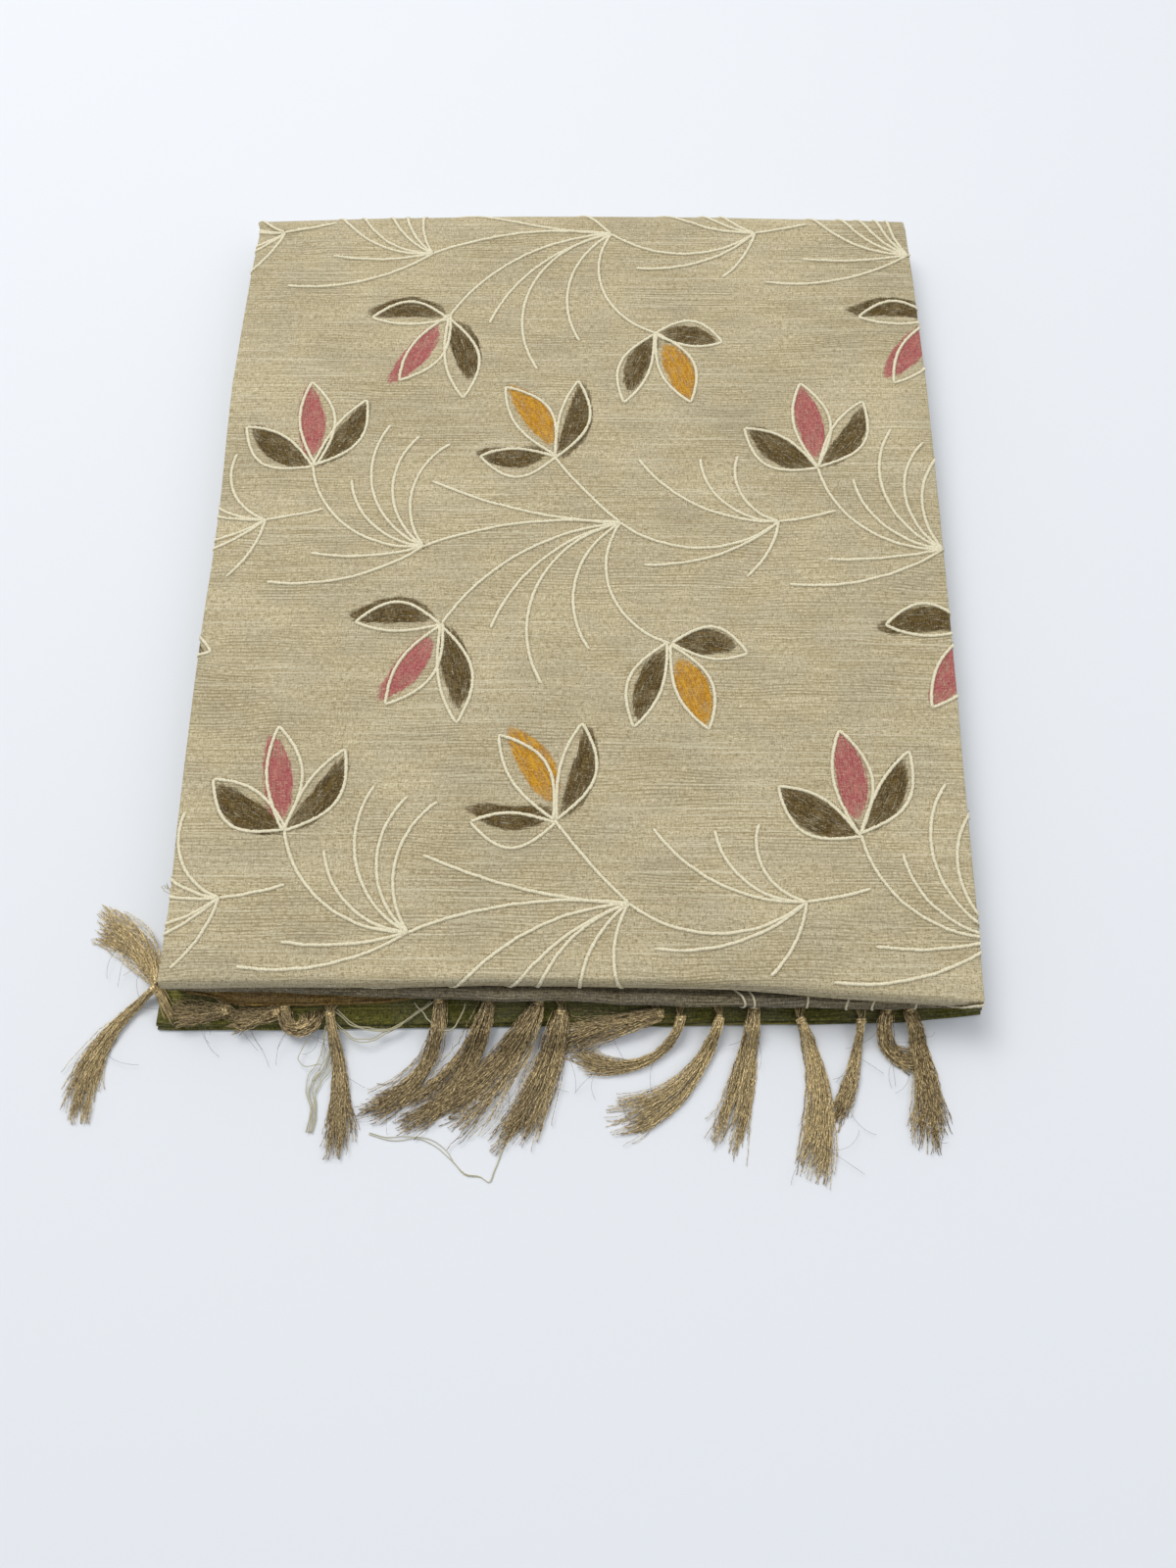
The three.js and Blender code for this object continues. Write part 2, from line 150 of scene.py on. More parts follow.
def shell_faces(rows, columns):
    """The faces of a closed sheet: an outer grid, then an inner one with as many points, and the rim."""
    index = np.arange(rows * columns).reshape(rows, columns)
    rim = np.concatenate([index[0, :-1], index[:-1, -1], index[-1, :0:-1], index[:0:-1, 0]])
    ahead = np.roll(rim, -1)
    inner = rows * columns
    side = np.stack([rim, ahead, ahead + inner, rim + inner], -1)
    return np.concatenate([
        grid_faces(rows, columns, 0, turned=True),
        grid_faces(rows, columns, inner),
        side[:, ::-1],
    ])


def sheet(name, outer, facing, ply, uv, material, replaces=(), values=None):
    """A closed sheet of cloth, from a grid of its outer points and the way that it faces at each."""
    points = np.concatenate([outer.reshape(-1, 3), (outer - ply * facing).reshape(-1, 3)])
    uv = np.concatenate([uv.reshape(-1, 2)] * 2)
    values = {key: np.concatenate([value.ravel()] * 2) for key, value in (values or {}).items()}
    return build(name, points, shell_faces(*outer.shape[:2]), material, replaces, uv, values)


def tube_faces(count, steps, sides, turned=True):
    """The faces of closed tubes, whose points are numbered tube by tube and ring by ring."""
    index = np.arange(count * steps * sides).reshape(count, steps, sides)
    around = np.roll(index, -1, axis=2)
    quads = np.stack([index[:, :-1], around[:, :-1], around[:, 1:], index[:, 1:]], -1).reshape(-1, 4)
    ends = np.concatenate([index[:, 0, ::-1], index[:, -1]])
    return [quads[:, ::-1], ends[:, ::-1]] if turned else [quads, ends]


def tubes(paths, radius, sides=3):
    """Closed tubes along paths[tube, point], with a radius for each point."""
    count, steps, _ = paths.shape
    ahead = unit(np.gradient(paths, axis=1))
    sideways = unit(np.cross(ahead, np.array([0.02, 0.01, 1.0])))
    over = np.cross(sideways, ahead)
    angle = 2 * np.pi * np.arange(sides) / sides
    ring = np.cos(angle)[:, None] * sideways[:, :, None] + np.sin(angle)[:, None] * over[:, :, None]
    radius = np.broadcast_to(np.asarray(radius, float), (count, steps))
    points = paths[:, :, None] + radius[:, :, None, None] * ring
    return points.reshape(-1, 3), tube_faces(count, steps, sides)


def tube_places(count, steps, sides, pitch, first=0):
    """UV of tubes, in millimetres: each tube has a row of its own, and runs along it."""
    rows = 5.0 * (np.arange(count) + first)
    along = pitch * np.arange(steps)
    places = np.stack(np.meshgrid(rows, along, indexing="ij"), -1)
    return np.repeat(places.reshape(-1, 2), sides, axis=0)


def joined(parts):
    """Several (points, faces) as one."""
    points, faces, start = [], [], 0
    for some_points, some_faces in parts:
        points.append(some_points)
        faces += [f + start for f in some_faces]
        start += len(some_points)
    return np.concatenate(points), faces


def smooth_noise(places, spacing, seed):
    """A smooth random curve from -1 to 1 at these places."""
    source = np.random.default_rng(seed)
    count = 64
    values = source.uniform(-1, 1, count)
    at = np.asarray(places, float) / spacing
    low = np.floor(at).astype(int)
    t = eased(at - low)
    return values[low % count] * (1 - t) + values[(low + 1) % count] * t


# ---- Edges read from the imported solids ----

EDGE_WANDERS = 14  # more than any edge leaves a straight line
STATION_SPACING = 28.75  # of the solids' points across, eleven from side to side
ROW_SPACING = 10  # finer than that of their points along
EDGE_LIMIT = 150  # across, further out than any side edge
SIDE_LIMIT = 170  # along, where the side edges are taken to end


def vertices_of(node):
    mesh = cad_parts[node].data
    points = np.zeros(len(mesh.vertices) * 3, np.float32)
    mesh.vertices.foreach_get("co", points)
    return points.reshape(-1, 3).astype(float) / MM


def outline(node, axis, side, step, low=-1e9):
    """A node's edge as (places, positions): its outermost x at each y (axis 0), or y at each x (axis 1)."""
    points = vertices_of(node)
    points = points[points[:, 2] > low]
    farthest = (points[:, axis] * side).max()
    groups = np.round(points[:, 1 - axis] / step)
    places, positions = [], []
    for group in np.unique(groups):
        inside = points[groups == group]
        best = inside[np.argmax(inside[:, axis] * side)]
        if farthest - best[axis] * side < EDGE_WANDERS:
            places.append(best[1 - axis])
            positions.append(best[axis])
    return np.array(places), np.array(positions)


SIDES = {sign: outline("upper_fold", 0, sign, ROW_SPACING, low=20) for sign in (-1, 1)}
FRONTS = {
    "upper": outline("upper_fold", 1, -1, STATION_SPACING),
    "lower": outline("lower_fold", 1, -1, STATION_SPACING),
    "pallu": outline("pallu_end", 1, -1, STATION_SPACING),
    "blouse": outline("blouse_piece", 1, -1, STATION_SPACING),
}
BACK = outline("upper_fold", 1, 1, STATION_SPACING)
BLOUSE_SIDES = {sign: outline("blouse_piece", 0, sign, ROW_SPACING) for sign in (-1, 1)}


def side_edge(sign, y, sides=None):
    places, positions = (sides or SIDES)[sign]
    return np.abs(np.interp(y, places, positions))


def nearer_side(x, y, sides=None):
    """How far out the side edge lies, at the left or at the right as x says."""
    return np.where(x < 0, side_edge(-1, y, sides), side_edge(1, y, sides))


def front_edge(kind, x):
    return np.interp(x, *FRONTS[kind])


def back_edge(x):
    return np.interp(x, *BACK)


# How far the outer cloth's front fold lies behind the solid's, so that the second fold shows in front of it.
UPPER_SETBACKS = table("x back", (-150, 0.8), (-40, 0.8), (60, 1.8), (150, 1.6))


def stations(rows, x):
    """A value that goes evenly from row to row of a table, at each place across."""
    return np.interp(x, [row["x"] for row in rows], [row["back"] for row in rows])


def upper_front(x):
    return front_edge("upper", x) + stations(UPPER_SETBACKS, x)


# ---- The outer cloth ----
# A place on it is (across, along): across is x before it turns down at a side edge, and along is y on the
# top face, going on round the front fold below it and round the back fold above it.

FRONT_RISE = 4 * PITCH  # half the upper pack's height
BACK_RADIUS = (BUNDLE_TOP - BUNDLE_BOTTOM) / 2


def half_ellipse(reach, rise):
    """Angles from its top round to its bottom, and the arc's length up to each."""
    angle = np.linspace(0, np.pi, 400)
    step = np.hypot(np.diff(reach * np.sin(angle)), np.diff(rise * np.cos(angle)))
    return angle, so_far(step)


# Ridges that the plies inside press into the front fold: how far round it they lie in degrees, how high they
# stand, and how far apart their changes along it are.
FRONT_RIDGES = table(
    "at rise spacing",
    (58, 0.16, 60),
    (76, 0.26, 41),
    (94, 0.34, 33),
    (114, 0.34, 27),
    (138, 0.34, 27),
)
RIDGE_WIDTH = 6.0

FRONT_ARC = half_ellipse(FRONT_REACH, FRONT_RISE)
BACK_ARC = half_ellipse(BACK_RADIUS, BACK_RADIUS)


def top_relief(x, y):
    """How far the top face lies below its highest point: soft hollows, shallow creases and a falling rim."""
    swell = np.sin(x / 47 + 0.6) * np.sin(y / 61 - 0.4) + 0.6 * np.sin(x / 29 - y / 83)
    rim = 0.45 * eased(np.clip((np.abs(x) - 0.9 * HALF_WIDTH) / (0.1 * HALF_WIDTH), 0, 1))
    ripple = 0.07 * np.sin(x / 9 + 2 * np.sin(y / 31)) * np.sin(y / 5.3 + x / 37)
    creases = 0
    for crease in CREASES:
        cos, sin = math.cos(crease["angle"]), math.sin(crease["angle"])
        along = (x - crease["x"]) * cos + (y - crease["y"]) * sin
        off = (y - crease["y"]) * cos - (x - crease["x"]) * sin
        part = (along / crease["reach"]) ** 2
        off = off - crease["bow"] * (1 - part)
        creases = creases + crease["depth"] * np.exp(-2 * part) * np.exp(-((off / crease["width"]) ** 2))
    return 0.3 + 0.18 * swell + rim + ripple + creases


# Soft troughs (depth above 0) and ridges (below 0) of the top face: their middle, the way they run in
# radians, how far they reach, how they bow, and their width and depth.
CREASES = table(
    "x y angle reach bow width depth",
    (-132, 158, -0.5, 26, 2, 4, 0.9),
    (-126, 168, -0.2, 30, -2, 5, -0.35),
    (-95, 150, -0.1, 60, 4, 9, 0.22),
    (60, 128, 0.06, 80, -5, 11, 0.2),
    (-20, 92, -0.04, 110, 5, 12, 0.16),
    (118, 30, 1.35, 70, 3, 7, 0.28),
    (-128, -20, 1.62, 85, -3, 6, 0.26),
    (30, -12, 0.1, 90, 4, 13, 0.16),
    (128, -105, 1.5, 50, -2, 5, 0.3),
    (-30, -158, 0.02, 100, 2, 5, 0.2),
)


def front_ridges(x, angle):
    """How far the front fold's ridges stand proud at an angle round it."""
    rise = 0
    for number, ridge in enumerate(FRONT_RIDGES):
        strength = 0.55 + 0.45 * smooth_noise(x, ridge["spacing"], 80 + number)
        at = ridge["at"] + 7 * smooth_noise(x, 70, 90 + number)
        rise = rise + ridge["rise"] * strength * np.exp(-(((angle - at) / RIDGE_WIDTH) ** 2))
    return rise


def on_outer(across, along):
    """Points of the outer cloth at these places, with the way it faces there."""
    across, along = np.broadcast_arrays(np.asarray(across, float), np.asarray(along, float))
    x = np.clip(across, -EDGE_LIMIT, EDGE_LIMIT)
    front = upper_front(x) + FRONT_REACH
    back = back_edge(x) - BACK_RADIUS
    y = np.clip(along, front, back)
    z = np.full_like(y, BUNDLE_TOP)
    ny, nz = np.zeros_like(y), np.ones_like(y)
    proud = np.zeros_like(y)
    for beyond, reach, rise, arc, way, end in (
        (front - along, FRONT_REACH, FRONT_RISE, FRONT_ARC, -1, front),
        (along - back, BACK_RADIUS, BACK_RADIUS, BACK_ARC, 1, back),
    ):
        round_it = beyond > 0
        angle = np.interp(np.maximum(beyond, 0), arc[1], arc[0])
        past = np.maximum(beyond - arc[1][-1], 0)
        y = np.where(round_it, end + way * (reach * np.sin(angle) - past), y)
        z = np.where(round_it, BUNDLE_TOP - rise + rise * np.cos(angle), z)
        slope_y, slope_z = way * np.sin(angle) / reach, np.cos(angle) / rise
        length = np.hypot(slope_y, slope_z)
        ny = np.where(round_it, slope_y / length, ny)
        nz = np.where(round_it, slope_z / length, nz)
        if way < 0:
            proud = np.where(round_it, front_ridges(x, np.degrees(angle)), 0)
    y, z = y + proud * ny, z + proud * nz
    z = z - eased(np.clip((nz - 0.8) / 0.2, 0, 1)) * top_relief(x, y)
    # The side edges: the cloth turns down round them and in under itself.
    sign = np.sign(across)
    edge = nearer_side(across, y) - EDGE_RADIUS
    over = np.maximum(np.abs(across) - edge, 0)
    angle = np.minimum(over / EDGE_RADIUS, np.pi)
    tucked = np.maximum(over - np.pi * EDGE_RADIUS, 0)
    x = sign * (np.minimum(np.abs(across), edge) + EDGE_RADIUS * np.sin(angle) - tucked)
    down = EDGE_RADIUS * (1 - np.cos(angle))
    facing = np.stack([sign * np.sin(angle), ny * np.cos(angle), nz * np.cos(angle)], -1)
    return np.stack([x, y - down * ny, z - down * nz], -1), facing


# ---- Procedural finishes ----

class Finish:
    """A material: its calls add nodes, with values or other nodes' outputs as their inputs."""

    def __init__(self, name, roughness, sheen=0.0, specular=0.5, metallic=0.0):
        self.material = bpy.data.materials.new(name)
        self.material.use_nodes = True
        self.tree = self.material.node_tree
        self.shader = self.tree.nodes["Principled BSDF"]
        self.shader.inputs["Roughness"].default_value = roughness
        self.shader.inputs["Sheen Weight"].default_value = sheen
        self.shader.inputs["Sheen Roughness"].default_value = 0.4
        self.shader.inputs["Specular IOR Level"].default_value = specular
        self.shader.inputs["Metallic"].default_value = metallic

    def put(self, socket, value):
        if isinstance(value, bpy.types.NodeSocket):
            self.tree.links.new(value, socket)
        else:
            socket.default_value = value

    def add(self, kind, inputs=(), output=0, **settings):
        node = self.tree.nodes.new("ShaderNode" + kind)
        for key, value in settings.items():
            setattr(node, key, value)
        for key, value in dict(inputs).items():
            self.put(node.inputs[key], value)
        return node.outputs[output]

    def math(self, operation, a, b=0.0):
        return self.add("Math", {0: a, 1: b}, operation=operation)

    def plus(self, a, b):
        return self.math("ADD", a, b)

    def times(self, a, b):
        return self.math("MULTIPLY", a, b)

    def blend(self, first, first_share, second, second_share):
        """Two values, each times its share, as one."""
        return self.plus(self.times(first, first_share), self.times(second, second_share))

    def uv(self, across, along):
        """The cloth's own coordinates, as cycles for each millimetre across and along."""
        place = self.add("UVMap", uv_map="cloth")
        return self.add("VectorMath", {0: place, 1: (across / MM, along / MM, 1)}, operation="MULTIPLY")

    def noise(self, vector, detail=2.0, roughness=0.5):
        inputs = {"Vector": vector, "Scale": 1.0, "Detail": detail, "Roughness": roughness}
        return self.add("TexNoise", inputs)

    def cloth_noise(self, across, along, detail=2.0, roughness=0.5):
        return self.noise(self.uv(across, along), detail, roughness)

    def ramp(self, value, low, high, start=0.0, end=1.0):
        inputs = {"Value": value, "From Min": low, "From Max": high, "To Min": start, "To Max": end}
        return self.add("MapRange", inputs, interpolation_type="SMOOTHSTEP")

    def mix(self, share, a, b):
        return self.add("MixRGB", {"Fac": share, "Color1": a, "Color2": b})

    def value_of(self, name):
        return self.add("Attribute", output=2, attribute_name=name)

    def finish(self, colour, height=None, distance=0.1, strength=0.5):
        self.put(self.shader.inputs["Base Color"], colour)
        if height is not None:
            inputs = {"Height": height, "Distance": distance * MM, "Strength": strength}
            self.put(self.shader.inputs["Normal"], self.add("Bump", inputs))
        return self.material


def colour(red, green, blue):
    """A colour from its usual 0 to 255 values, as the linear one that shaders take."""
    def linear(value):
        value = value / 255
        return value / 12.92 if value <= 0.04045 else ((value + 0.055) / 1.055) ** 2.4
    return (linear(red), linear(green), linear(blue), 1.0)


LINE_PITCH = 1.25  # between the lines that run across the weave, in millimetres


def weave(finish, ground, light, dark):
    """Slubbed plain weave: its colour, its height and its grain. The weft, with the slubs, runs across."""
    weft = finish.cloth_noise(0.45, 1.9, detail=2, roughness=0.6)
    warp = finish.cloth_noise(1.9, 0.4, detail=2, roughness=0.6)
    speck = finish.cloth_noise(1.5, 1.7, detail=3, roughness=0.75)
    slubs = finish.cloth_noise(0.012, 1.5, detail=3, roughness=0.6)
    broad = finish.cloth_noise(0.018, 0.022, detail=2)
    hue = finish.cloth_noise(0.05, 0.07, detail=2)
    grain = finish.blend(weft, 0.32, warp, 0.26)
    grain = finish.plus(grain, finish.times(speck, 0.42))
    ribs = finish.ramp(finish.cloth_noise(0.04, 1.2 / LINE_PITCH, detail=1), 0.38, 0.58)
    bend = finish.cloth_noise(0.02, 0.035, detail=1)
    along = finish.add("SeparateXYZ", {0: finish.uv(1, 1 / LINE_PITCH)}, output=1)
    phase = finish.plus(along, finish.times(bend, 6.0))
    lines = finish.math("SINE", finish.times(phase, 2 * math.pi))
    patches = finish.ramp(finish.cloth_noise(0.02, 0.045, detail=2), 0.36, 0.6, 0.15, 1.0)
    broken = finish.ramp(finish.cloth_noise(0.05, 1.05, detail=1), 0.3, 0.55)
    lined = finish.times(finish.ramp(lines, -0.9, 0.3, 1.0, 0.0), finish.times(patches, broken))
    colour_now = finish.mix(finish.ramp(grain, 0.39, 0.53), dark, ground)
    colour_now = finish.mix(finish.ramp(grain, 0.5, 0.64, 0.0, 0.75), colour_now, light)
    furrows = finish.math("SUBTRACT", 1.0, ribs)
    colour_now = finish.mix(finish.times(furrows, 0.26), colour_now, dark)
    colour_now = finish.mix(finish.times(lined, 0.7), colour_now, dark)
    colour_now = finish.mix(finish.ramp(slubs, 0.57, 0.65, 0.0, 0.5), colour_now, light)
    colour_now = finish.mix(finish.ramp(hue, 0.4, 0.62, 0.0, 0.08), colour_now, (0.33, 0.32, 0.32, 1))
    tone = finish.ramp(broad, 0.3, 0.7, 0.95, 1.05)
    colour_now = finish.add("VectorMath", {0: colour_now, "Scale": tone}, operation="SCALE")
    height = finish.plus(grain, finish.times(finish.ramp(slubs, 0.55, 0.72), 0.35))
    height = finish.plus(height, finish.times(ribs, 0.18))
    height = finish.math("SUBTRACT", height, finish.times(lined, 0.3))
    return colour_now, height, grain


BEIGE = {"ground": colour(195, 182, 148), "light": colour(230, 220, 190), "dark": colour(140, 126, 92)}
PAINTS = {
    "olive": (colour(96, 76, 32), colour(52, 38, 10)),
    "pink": (colour(176, 104, 98), colour(146, 62, 70)),
    "mustard": (colour(200, 148, 36), colour(156, 102, 8)),
}


def sari_finish():
    """The sari's cloth, with its petals painted into the weave with a dry brush."""
    finish = Finish("sari_weave", roughness=0.78, sheen=0.07, specular=0.2)
    cloth, height, grain = weave(finish, **BEIGE)
    along, off = finish.value_of("paint_along"), finish.value_of("paint_off")
    ragged_at = finish.value_of("paint_ragged")
    fine = {"X": finish.times(along, 0.12), "Y": finish.times(off, 1.5)}
    streaks = finish.noise(finish.add("CombineXYZ", fine), detail=3, roughness=0.75)
    blots = finish.cloth_noise(0.16, 0.16, detail=3)
    uneven = finish.math("SUBTRACT", finish.blend(streaks, 0.7, blots, 0.3), 0.5)
    pushed = finish.times(finish.times(uneven, 3.6), ragged_at)
    soak = finish.ramp(grain, 0.5, 0.66, 1.0, 0.6)
    dry = finish.ramp(finish.plus(streaks, finish.times(ragged_at, -0.04)), 0.26, 0.42, 0.45, 1.0)
    thin = finish.ramp(blots, 0.3, 0.55, 0.84, 1.0)
    for name, (full, thick) in PAINTS.items():
        edge = finish.plus(finish.value_of("paint_" + name), pushed)
        mask = finish.ramp(edge, -0.4, 0.5, 1.0, 0.0)
        mask = finish.times(finish.times(mask, soak), finish.times(dry, thin))
        paint = finish.mix(finish.ramp(finish.plus(grain, streaks), 0.9, 1.1), thick, full)
        cloth = finish.mix(mask, cloth, paint)
    return finish.finish(cloth, height, distance=0.2, strength=0.75)


def plain_finish(name, ground, light, dark, roughness=0.78, metallic=0.0):
    finish = Finish(name, roughness=roughness, sheen=0.08, specular=0.25, metallic=metallic)
    cloth, height, _ = weave(finish, ground, light, dark)
    return finish.finish(cloth, height, distance=0.12, strength=0.55)


PAINTED_GLINT_PITCH = 1.1  # between the painted glint flecks along a thread, in millimetres


def thread_finish(name, low, high, roughness, metallic=0.0, painted_glints=0.0):
    """Thread whose tone varies from thread to thread with its own value, and along itself with flecks of
    painted highlight in its colour.
    """
    finish = Finish(name, roughness=roughness, sheen=0.1, specular=0.5, metallic=metallic)
    tone = finish.value_of("tone")
    if painted_glints:
        # Painted highlight: bright flecks along the thread, mixed into its colour to stand in for glint.
        painted_glint = finish.cloth_noise(0.35, 1.0 / PAINTED_GLINT_PITCH, detail=2, roughness=0.6)
        painted_glint = finish.times(finish.ramp(painted_glint, 0.42, 0.62), painted_glints)
        tone = finish.plus(finish.times(tone, 1.0 - painted_glints), painted_glint)
    return finish.finish(finish.mix(tone, low, high))


def stitched_finish():
    """The cream thread, with the slanting turns of its own twist."""
    finish = Finish("embroidery", roughness=0.6, sheen=0.15, specular=0.4)
    place = finish.add("SeparateXYZ", {0: finish.uv(1.0, 1.0)}, output=0)
    along = finish.add("SeparateXYZ", {0: finish.uv(1.0, 1.0)}, output=1)
    slant = finish.blend(along, 2.3, place, 0.9)
    turns = finish.math("SINE", finish.times(slant, 2 * math.pi))
    fuzz = finish.cloth_noise(1.6, 2.2, detail=3, roughness=0.7)
    share = finish.blend(finish.value_of("tone"), 0.45, finish.ramp(fuzz, 0.3, 0.6), 0.55)
    share = finish.times(share, finish.ramp(turns, -1.0, 0.2, 0.72, 1.0))
    thread = finish.mix(share, colour(200, 186, 146), colour(252, 244, 216))
    return finish.finish(thread, finish.plus(turns, fuzz), distance=0.12, strength=0.5)


# ---- The floral trail ----
# Each row has the place of one repeat's hub, where its stems meet, and the distance to the next. The other
# places are measured from the hub. A branch goes from a named point to a place, and turns by some degrees on
# the way.

TRAIL_ROWS = table(
    "y x repeat",
    (161, 14, 207),
    (15, 18, 205),
    (-140, 21, 209),
    (-293, 22, 208),
    (312, 12, 207),
)

POINTS = {
    "hub": (0, 0),
    "left": (-78, -11),
    "right": (63, 1),
    "pink_up": (-125, 26),
    "mustard_up": (-27, 31),
    "pink_down": (-69, -45),
    "mustard_down": (19, -53),
    "next_stem": (86, 6),
}

BRANCHES = table(
    "from to turn",
    ("hub", (-27, 31), -10),
    ("hub", (-76, 19), -24),
    ("hub", (-78, -11), 31),
    ("hub", (-69, -45), 55),
    ("hub", (-50, -48), 56),
    ("hub", (-29, -72), 104),
    ("hub", (-13, -56), 85),
    ("hub", (19, -53), 104),
    ("hub", (63, 1), 78),
    ("pink_up", (-78, -11), 84),
    ("left", (-110, 20), -78),
    ("left", (-94, 45), -98),
    ("left", (-83, 39), -92),
    ("left", (-70, 37), -90),
    ("left", (-123, -14), -24),
    ("left", (-138, -27), -42),
    ("right", (9, 27), -64),
    ("right", (31, 30), -82),
    ("right", (48, 31), -92),
    ("right", (10, -19), -52),
    ("right", (49, -24), -36),
    ("right", (86, 6), 10),
)

# Petals: the flower that they belong to, where their tips lie from its foot, their width and how they bow,
# then their paint, how far it lies off their middle, and how far it stays from the foot and from the tip.
PETALS = table(
    "flower tip width bow paint off gap stop",
    ("pink_up", (-29, 19), 15, 2.5, "olive", 0, 1, 1),
    ("pink_up", (-5, 41), 14, -1.5, "pink", 1.6, 6, 2),
    ("pink_up", (20, 32), 13, -3, "olive", -0.5, 2, 2),
    ("mustard_up", (-31, 0), 13, 3, "olive", -3, 1, -2),
    ("mustard_up", (-21, 33), 15, -2, "mustard", -2, 6, 0),
    ("mustard_up", (9, 38), 13, -3, "olive", -2.4, 1, 1),
    ("pink_down", (-33, 1), 13, -3, "olive", -1.5, 2, -5),
    ("pink_down", (-20, -34), 14, 1.5, "pink", -1.6, 6, 0),
    ("pink_down", (8, -41), 14, 2.5, "olive", 1.2, 2, 7),
    ("mustard_down", (29, -4), 13, 2.5, "olive", -1.4, 1, 4),
    ("mustard_down", (14, -35), 14, 1.5, "mustard", 0.6, 8, 1),
    ("mustard_down", (-13, -35), 13, -2, "olive", 1, 2, 5),
)


def arc(start, end, turn, step):
    """Points along a circular arc between two points that turns by some degrees."""
    start, end = np.array(start, float), np.array(end, float)
    chord = end - start
    reach = np.linalg.norm(chord)
    half = math.radians(turn) / 2
    length = reach * half / math.sin(half)
    count = max(int(length / step), 3)
    share = np.linspace(0, 1, count + 1)
    heading = math.atan2(chord[1], chord[0]) - half + 2 * half * (share[:-1] + share[1:]) / 2
    steps = np.stack([np.cos(heading), np.sin(heading)], -1) * length / count
    points = start + np.concatenate([[[0, 0]], np.cumsum(steps, 0)])
    return points + share[:, None] * (end - points[-1])


def petal_shape(share):
    """Half of a petal's width, as a part of the widest, at each share of its length."""
    return np.sin(np.pi * np.clip(share, 0, 1) ** 1.08) ** 0.92


def petal_outline(foot, petal, step):
    """The two sides of a petal, each from its foot to its tip."""
    foot, tip = np.array(foot, float), np.array(petal["tip"], float)
    length = np.linalg.norm(tip)
    ahead = tip / length
    sideways = np.array([-ahead[1], ahead[0]])
    count = int(length / step * 1.1)
    share = np.linspace(0, 1, count + 1)
    middle = petal["bow"] * np.sin(np.pi * share)
    half = petal["width"] / 2 * petal_shape(share)
    return [foot + share[:, None] * tip + (middle + sign * half)[:, None] * sideways for sign in (-1, 1)]


def repeats():
    """Where each repeat that can touch the outer cloth starts, with a number of its own."""
    number = 0
    for row in TRAIL_ROWS:
        for column in (-1, 0, 1):
            yield number, np.array([row["x"] + column * row["repeat"], row["y"]], float)
            number += 1


# ---- Embroidery ----

SHOWN_PAST_FOLD = 4  # how far past its two folds the outer cloth is stitched
SHOWN_PAST_EDGE = 2.5  # and how far past its side edges, measured along the cloth
SHORTEST_PART = 5  # points of a line that are worth a thread


def even(line, step):
    """A line's points at even distances."""
    lengths = so_far(np.linalg.norm(np.diff(line, axis=0), axis=1))
    count = max(int(round(lengths[-1] / step)), 2)
    at = np.linspace(0, lengths[-1], count + 1)
    return np.stack([np.interp(at, lengths, line[:, k]) for k in range(2)], -1)


def visible(line):
    """Which points of a line lie on the modelled outer cloth and not too deep in its folds."""
    x, y = line[:, 0], line[:, 1]
    front = upper_front(x) + FRONT_REACH - FRONT_ARC[1][-1] - SHOWN_PAST_FOLD
    back = back_edge(x) - BACK_RADIUS + BACK_ARC[1][-1] + SHOWN_PAST_FOLD
    edge = nearer_side(x, np.clip(y, -SIDE_LIMIT, SIDE_LIMIT))
    return (y > front) & (y < back) & (np.abs(x) < edge + SHOWN_PAST_EDGE)


def embroidery_lines():
    """Every stitched line of the trail, in the outer cloth's own coordinates: stems, then petals."""
    stems, petals = [], []
    for number, start in repeats():
        source = np.random.default_rng(100 + number)
        for branch in BRANCHES:
            end = np.array(branch["to"], float)
            free = not any(np.allclose(end, point) for point in POINTS.values())
            shift = source.normal(0, 1.1 if free else 0.0, 2)
            turn = branch["turn"] + source.normal(0, 3)
            line = arc(start + POINTS[branch["from"]], start + end + shift, turn, 2.0)
            line[:, 1] += 0.18 * smooth_noise(np.arange(len(line)) + 9 * number, 2.2, number)
            stems.append(line)
        for petal in PETALS:
            shift = source.normal(0, 0.5, 2)
            grown = dict(petal, width=petal["width"] * (1 + source.normal(0, 0.05)))
            petals += petal_outline(start + POINTS[petal["flower"]] + shift, grown, 2.0)
    return {"stem_stitches": stems, "petal_stitches": petals}


def frames_on(line):
    """A line's points on the outer cloth, with the ways ahead, sideways and up there."""
    point, up = on_outer(line[:, 0], line[:, 1])
    ahead = unit(np.gradient(point, axis=0))
    return point, ahead, unit(np.cross(up, ahead)), up


def shown_parts(line, step):
    """The stretches of a line that the outer cloth shows, with points at even distances."""
    line = even(line, step)
    inside = np.concatenate([[False], visible(line), [False]])
    starts = np.flatnonzero(inside[1:] & ~inside[:-1])
    ends = np.flatnonzero(~inside[1:] & inside[:-1])
    return [line[a:b] for a, b in zip(starts, ends) if b - a >= SHORTEST_PART]


def raised_thread(line, source):
    """A thread on the cloth, pinched at each stitch, as (points, faces, uv)."""
    point, _, sideways, up = frames_on(line)
    count = len(line)
    order = np.arange(count)
    size = 1 + 0.1 * np.where(order % 2 == 0, 1, -1) + source.normal(0, 0.1, count)
    point = point + source.normal(0, 0.07, (count, 1)) * sideways
    size = size * np.clip((np.minimum(order, order[::-1]) + 0.6) / 3, 0, 1) ** 0.5
    angle = np.radians(THREAD_ANGLES)
    out = 0.5 * THREAD_WIDTH * np.cos(angle)
    rise = np.maximum(THREAD_HEIGHT * np.sin(angle), -0.12)
    ring = out[None, :, None] * sideways[:, None] + rise[None, :, None] * up[:, None]
    points = point[:, None] + size[:, None, None] * ring
    travelled = order * STITCH_PITCH / 2
    uv = np.stack(np.broadcast_arrays(np.arange(len(angle)) * 0.4, travelled[:, None]), -1)
    return points.reshape(-1, 3), tube_faces(1, count, len(angle)), uv.reshape(-1, 2)


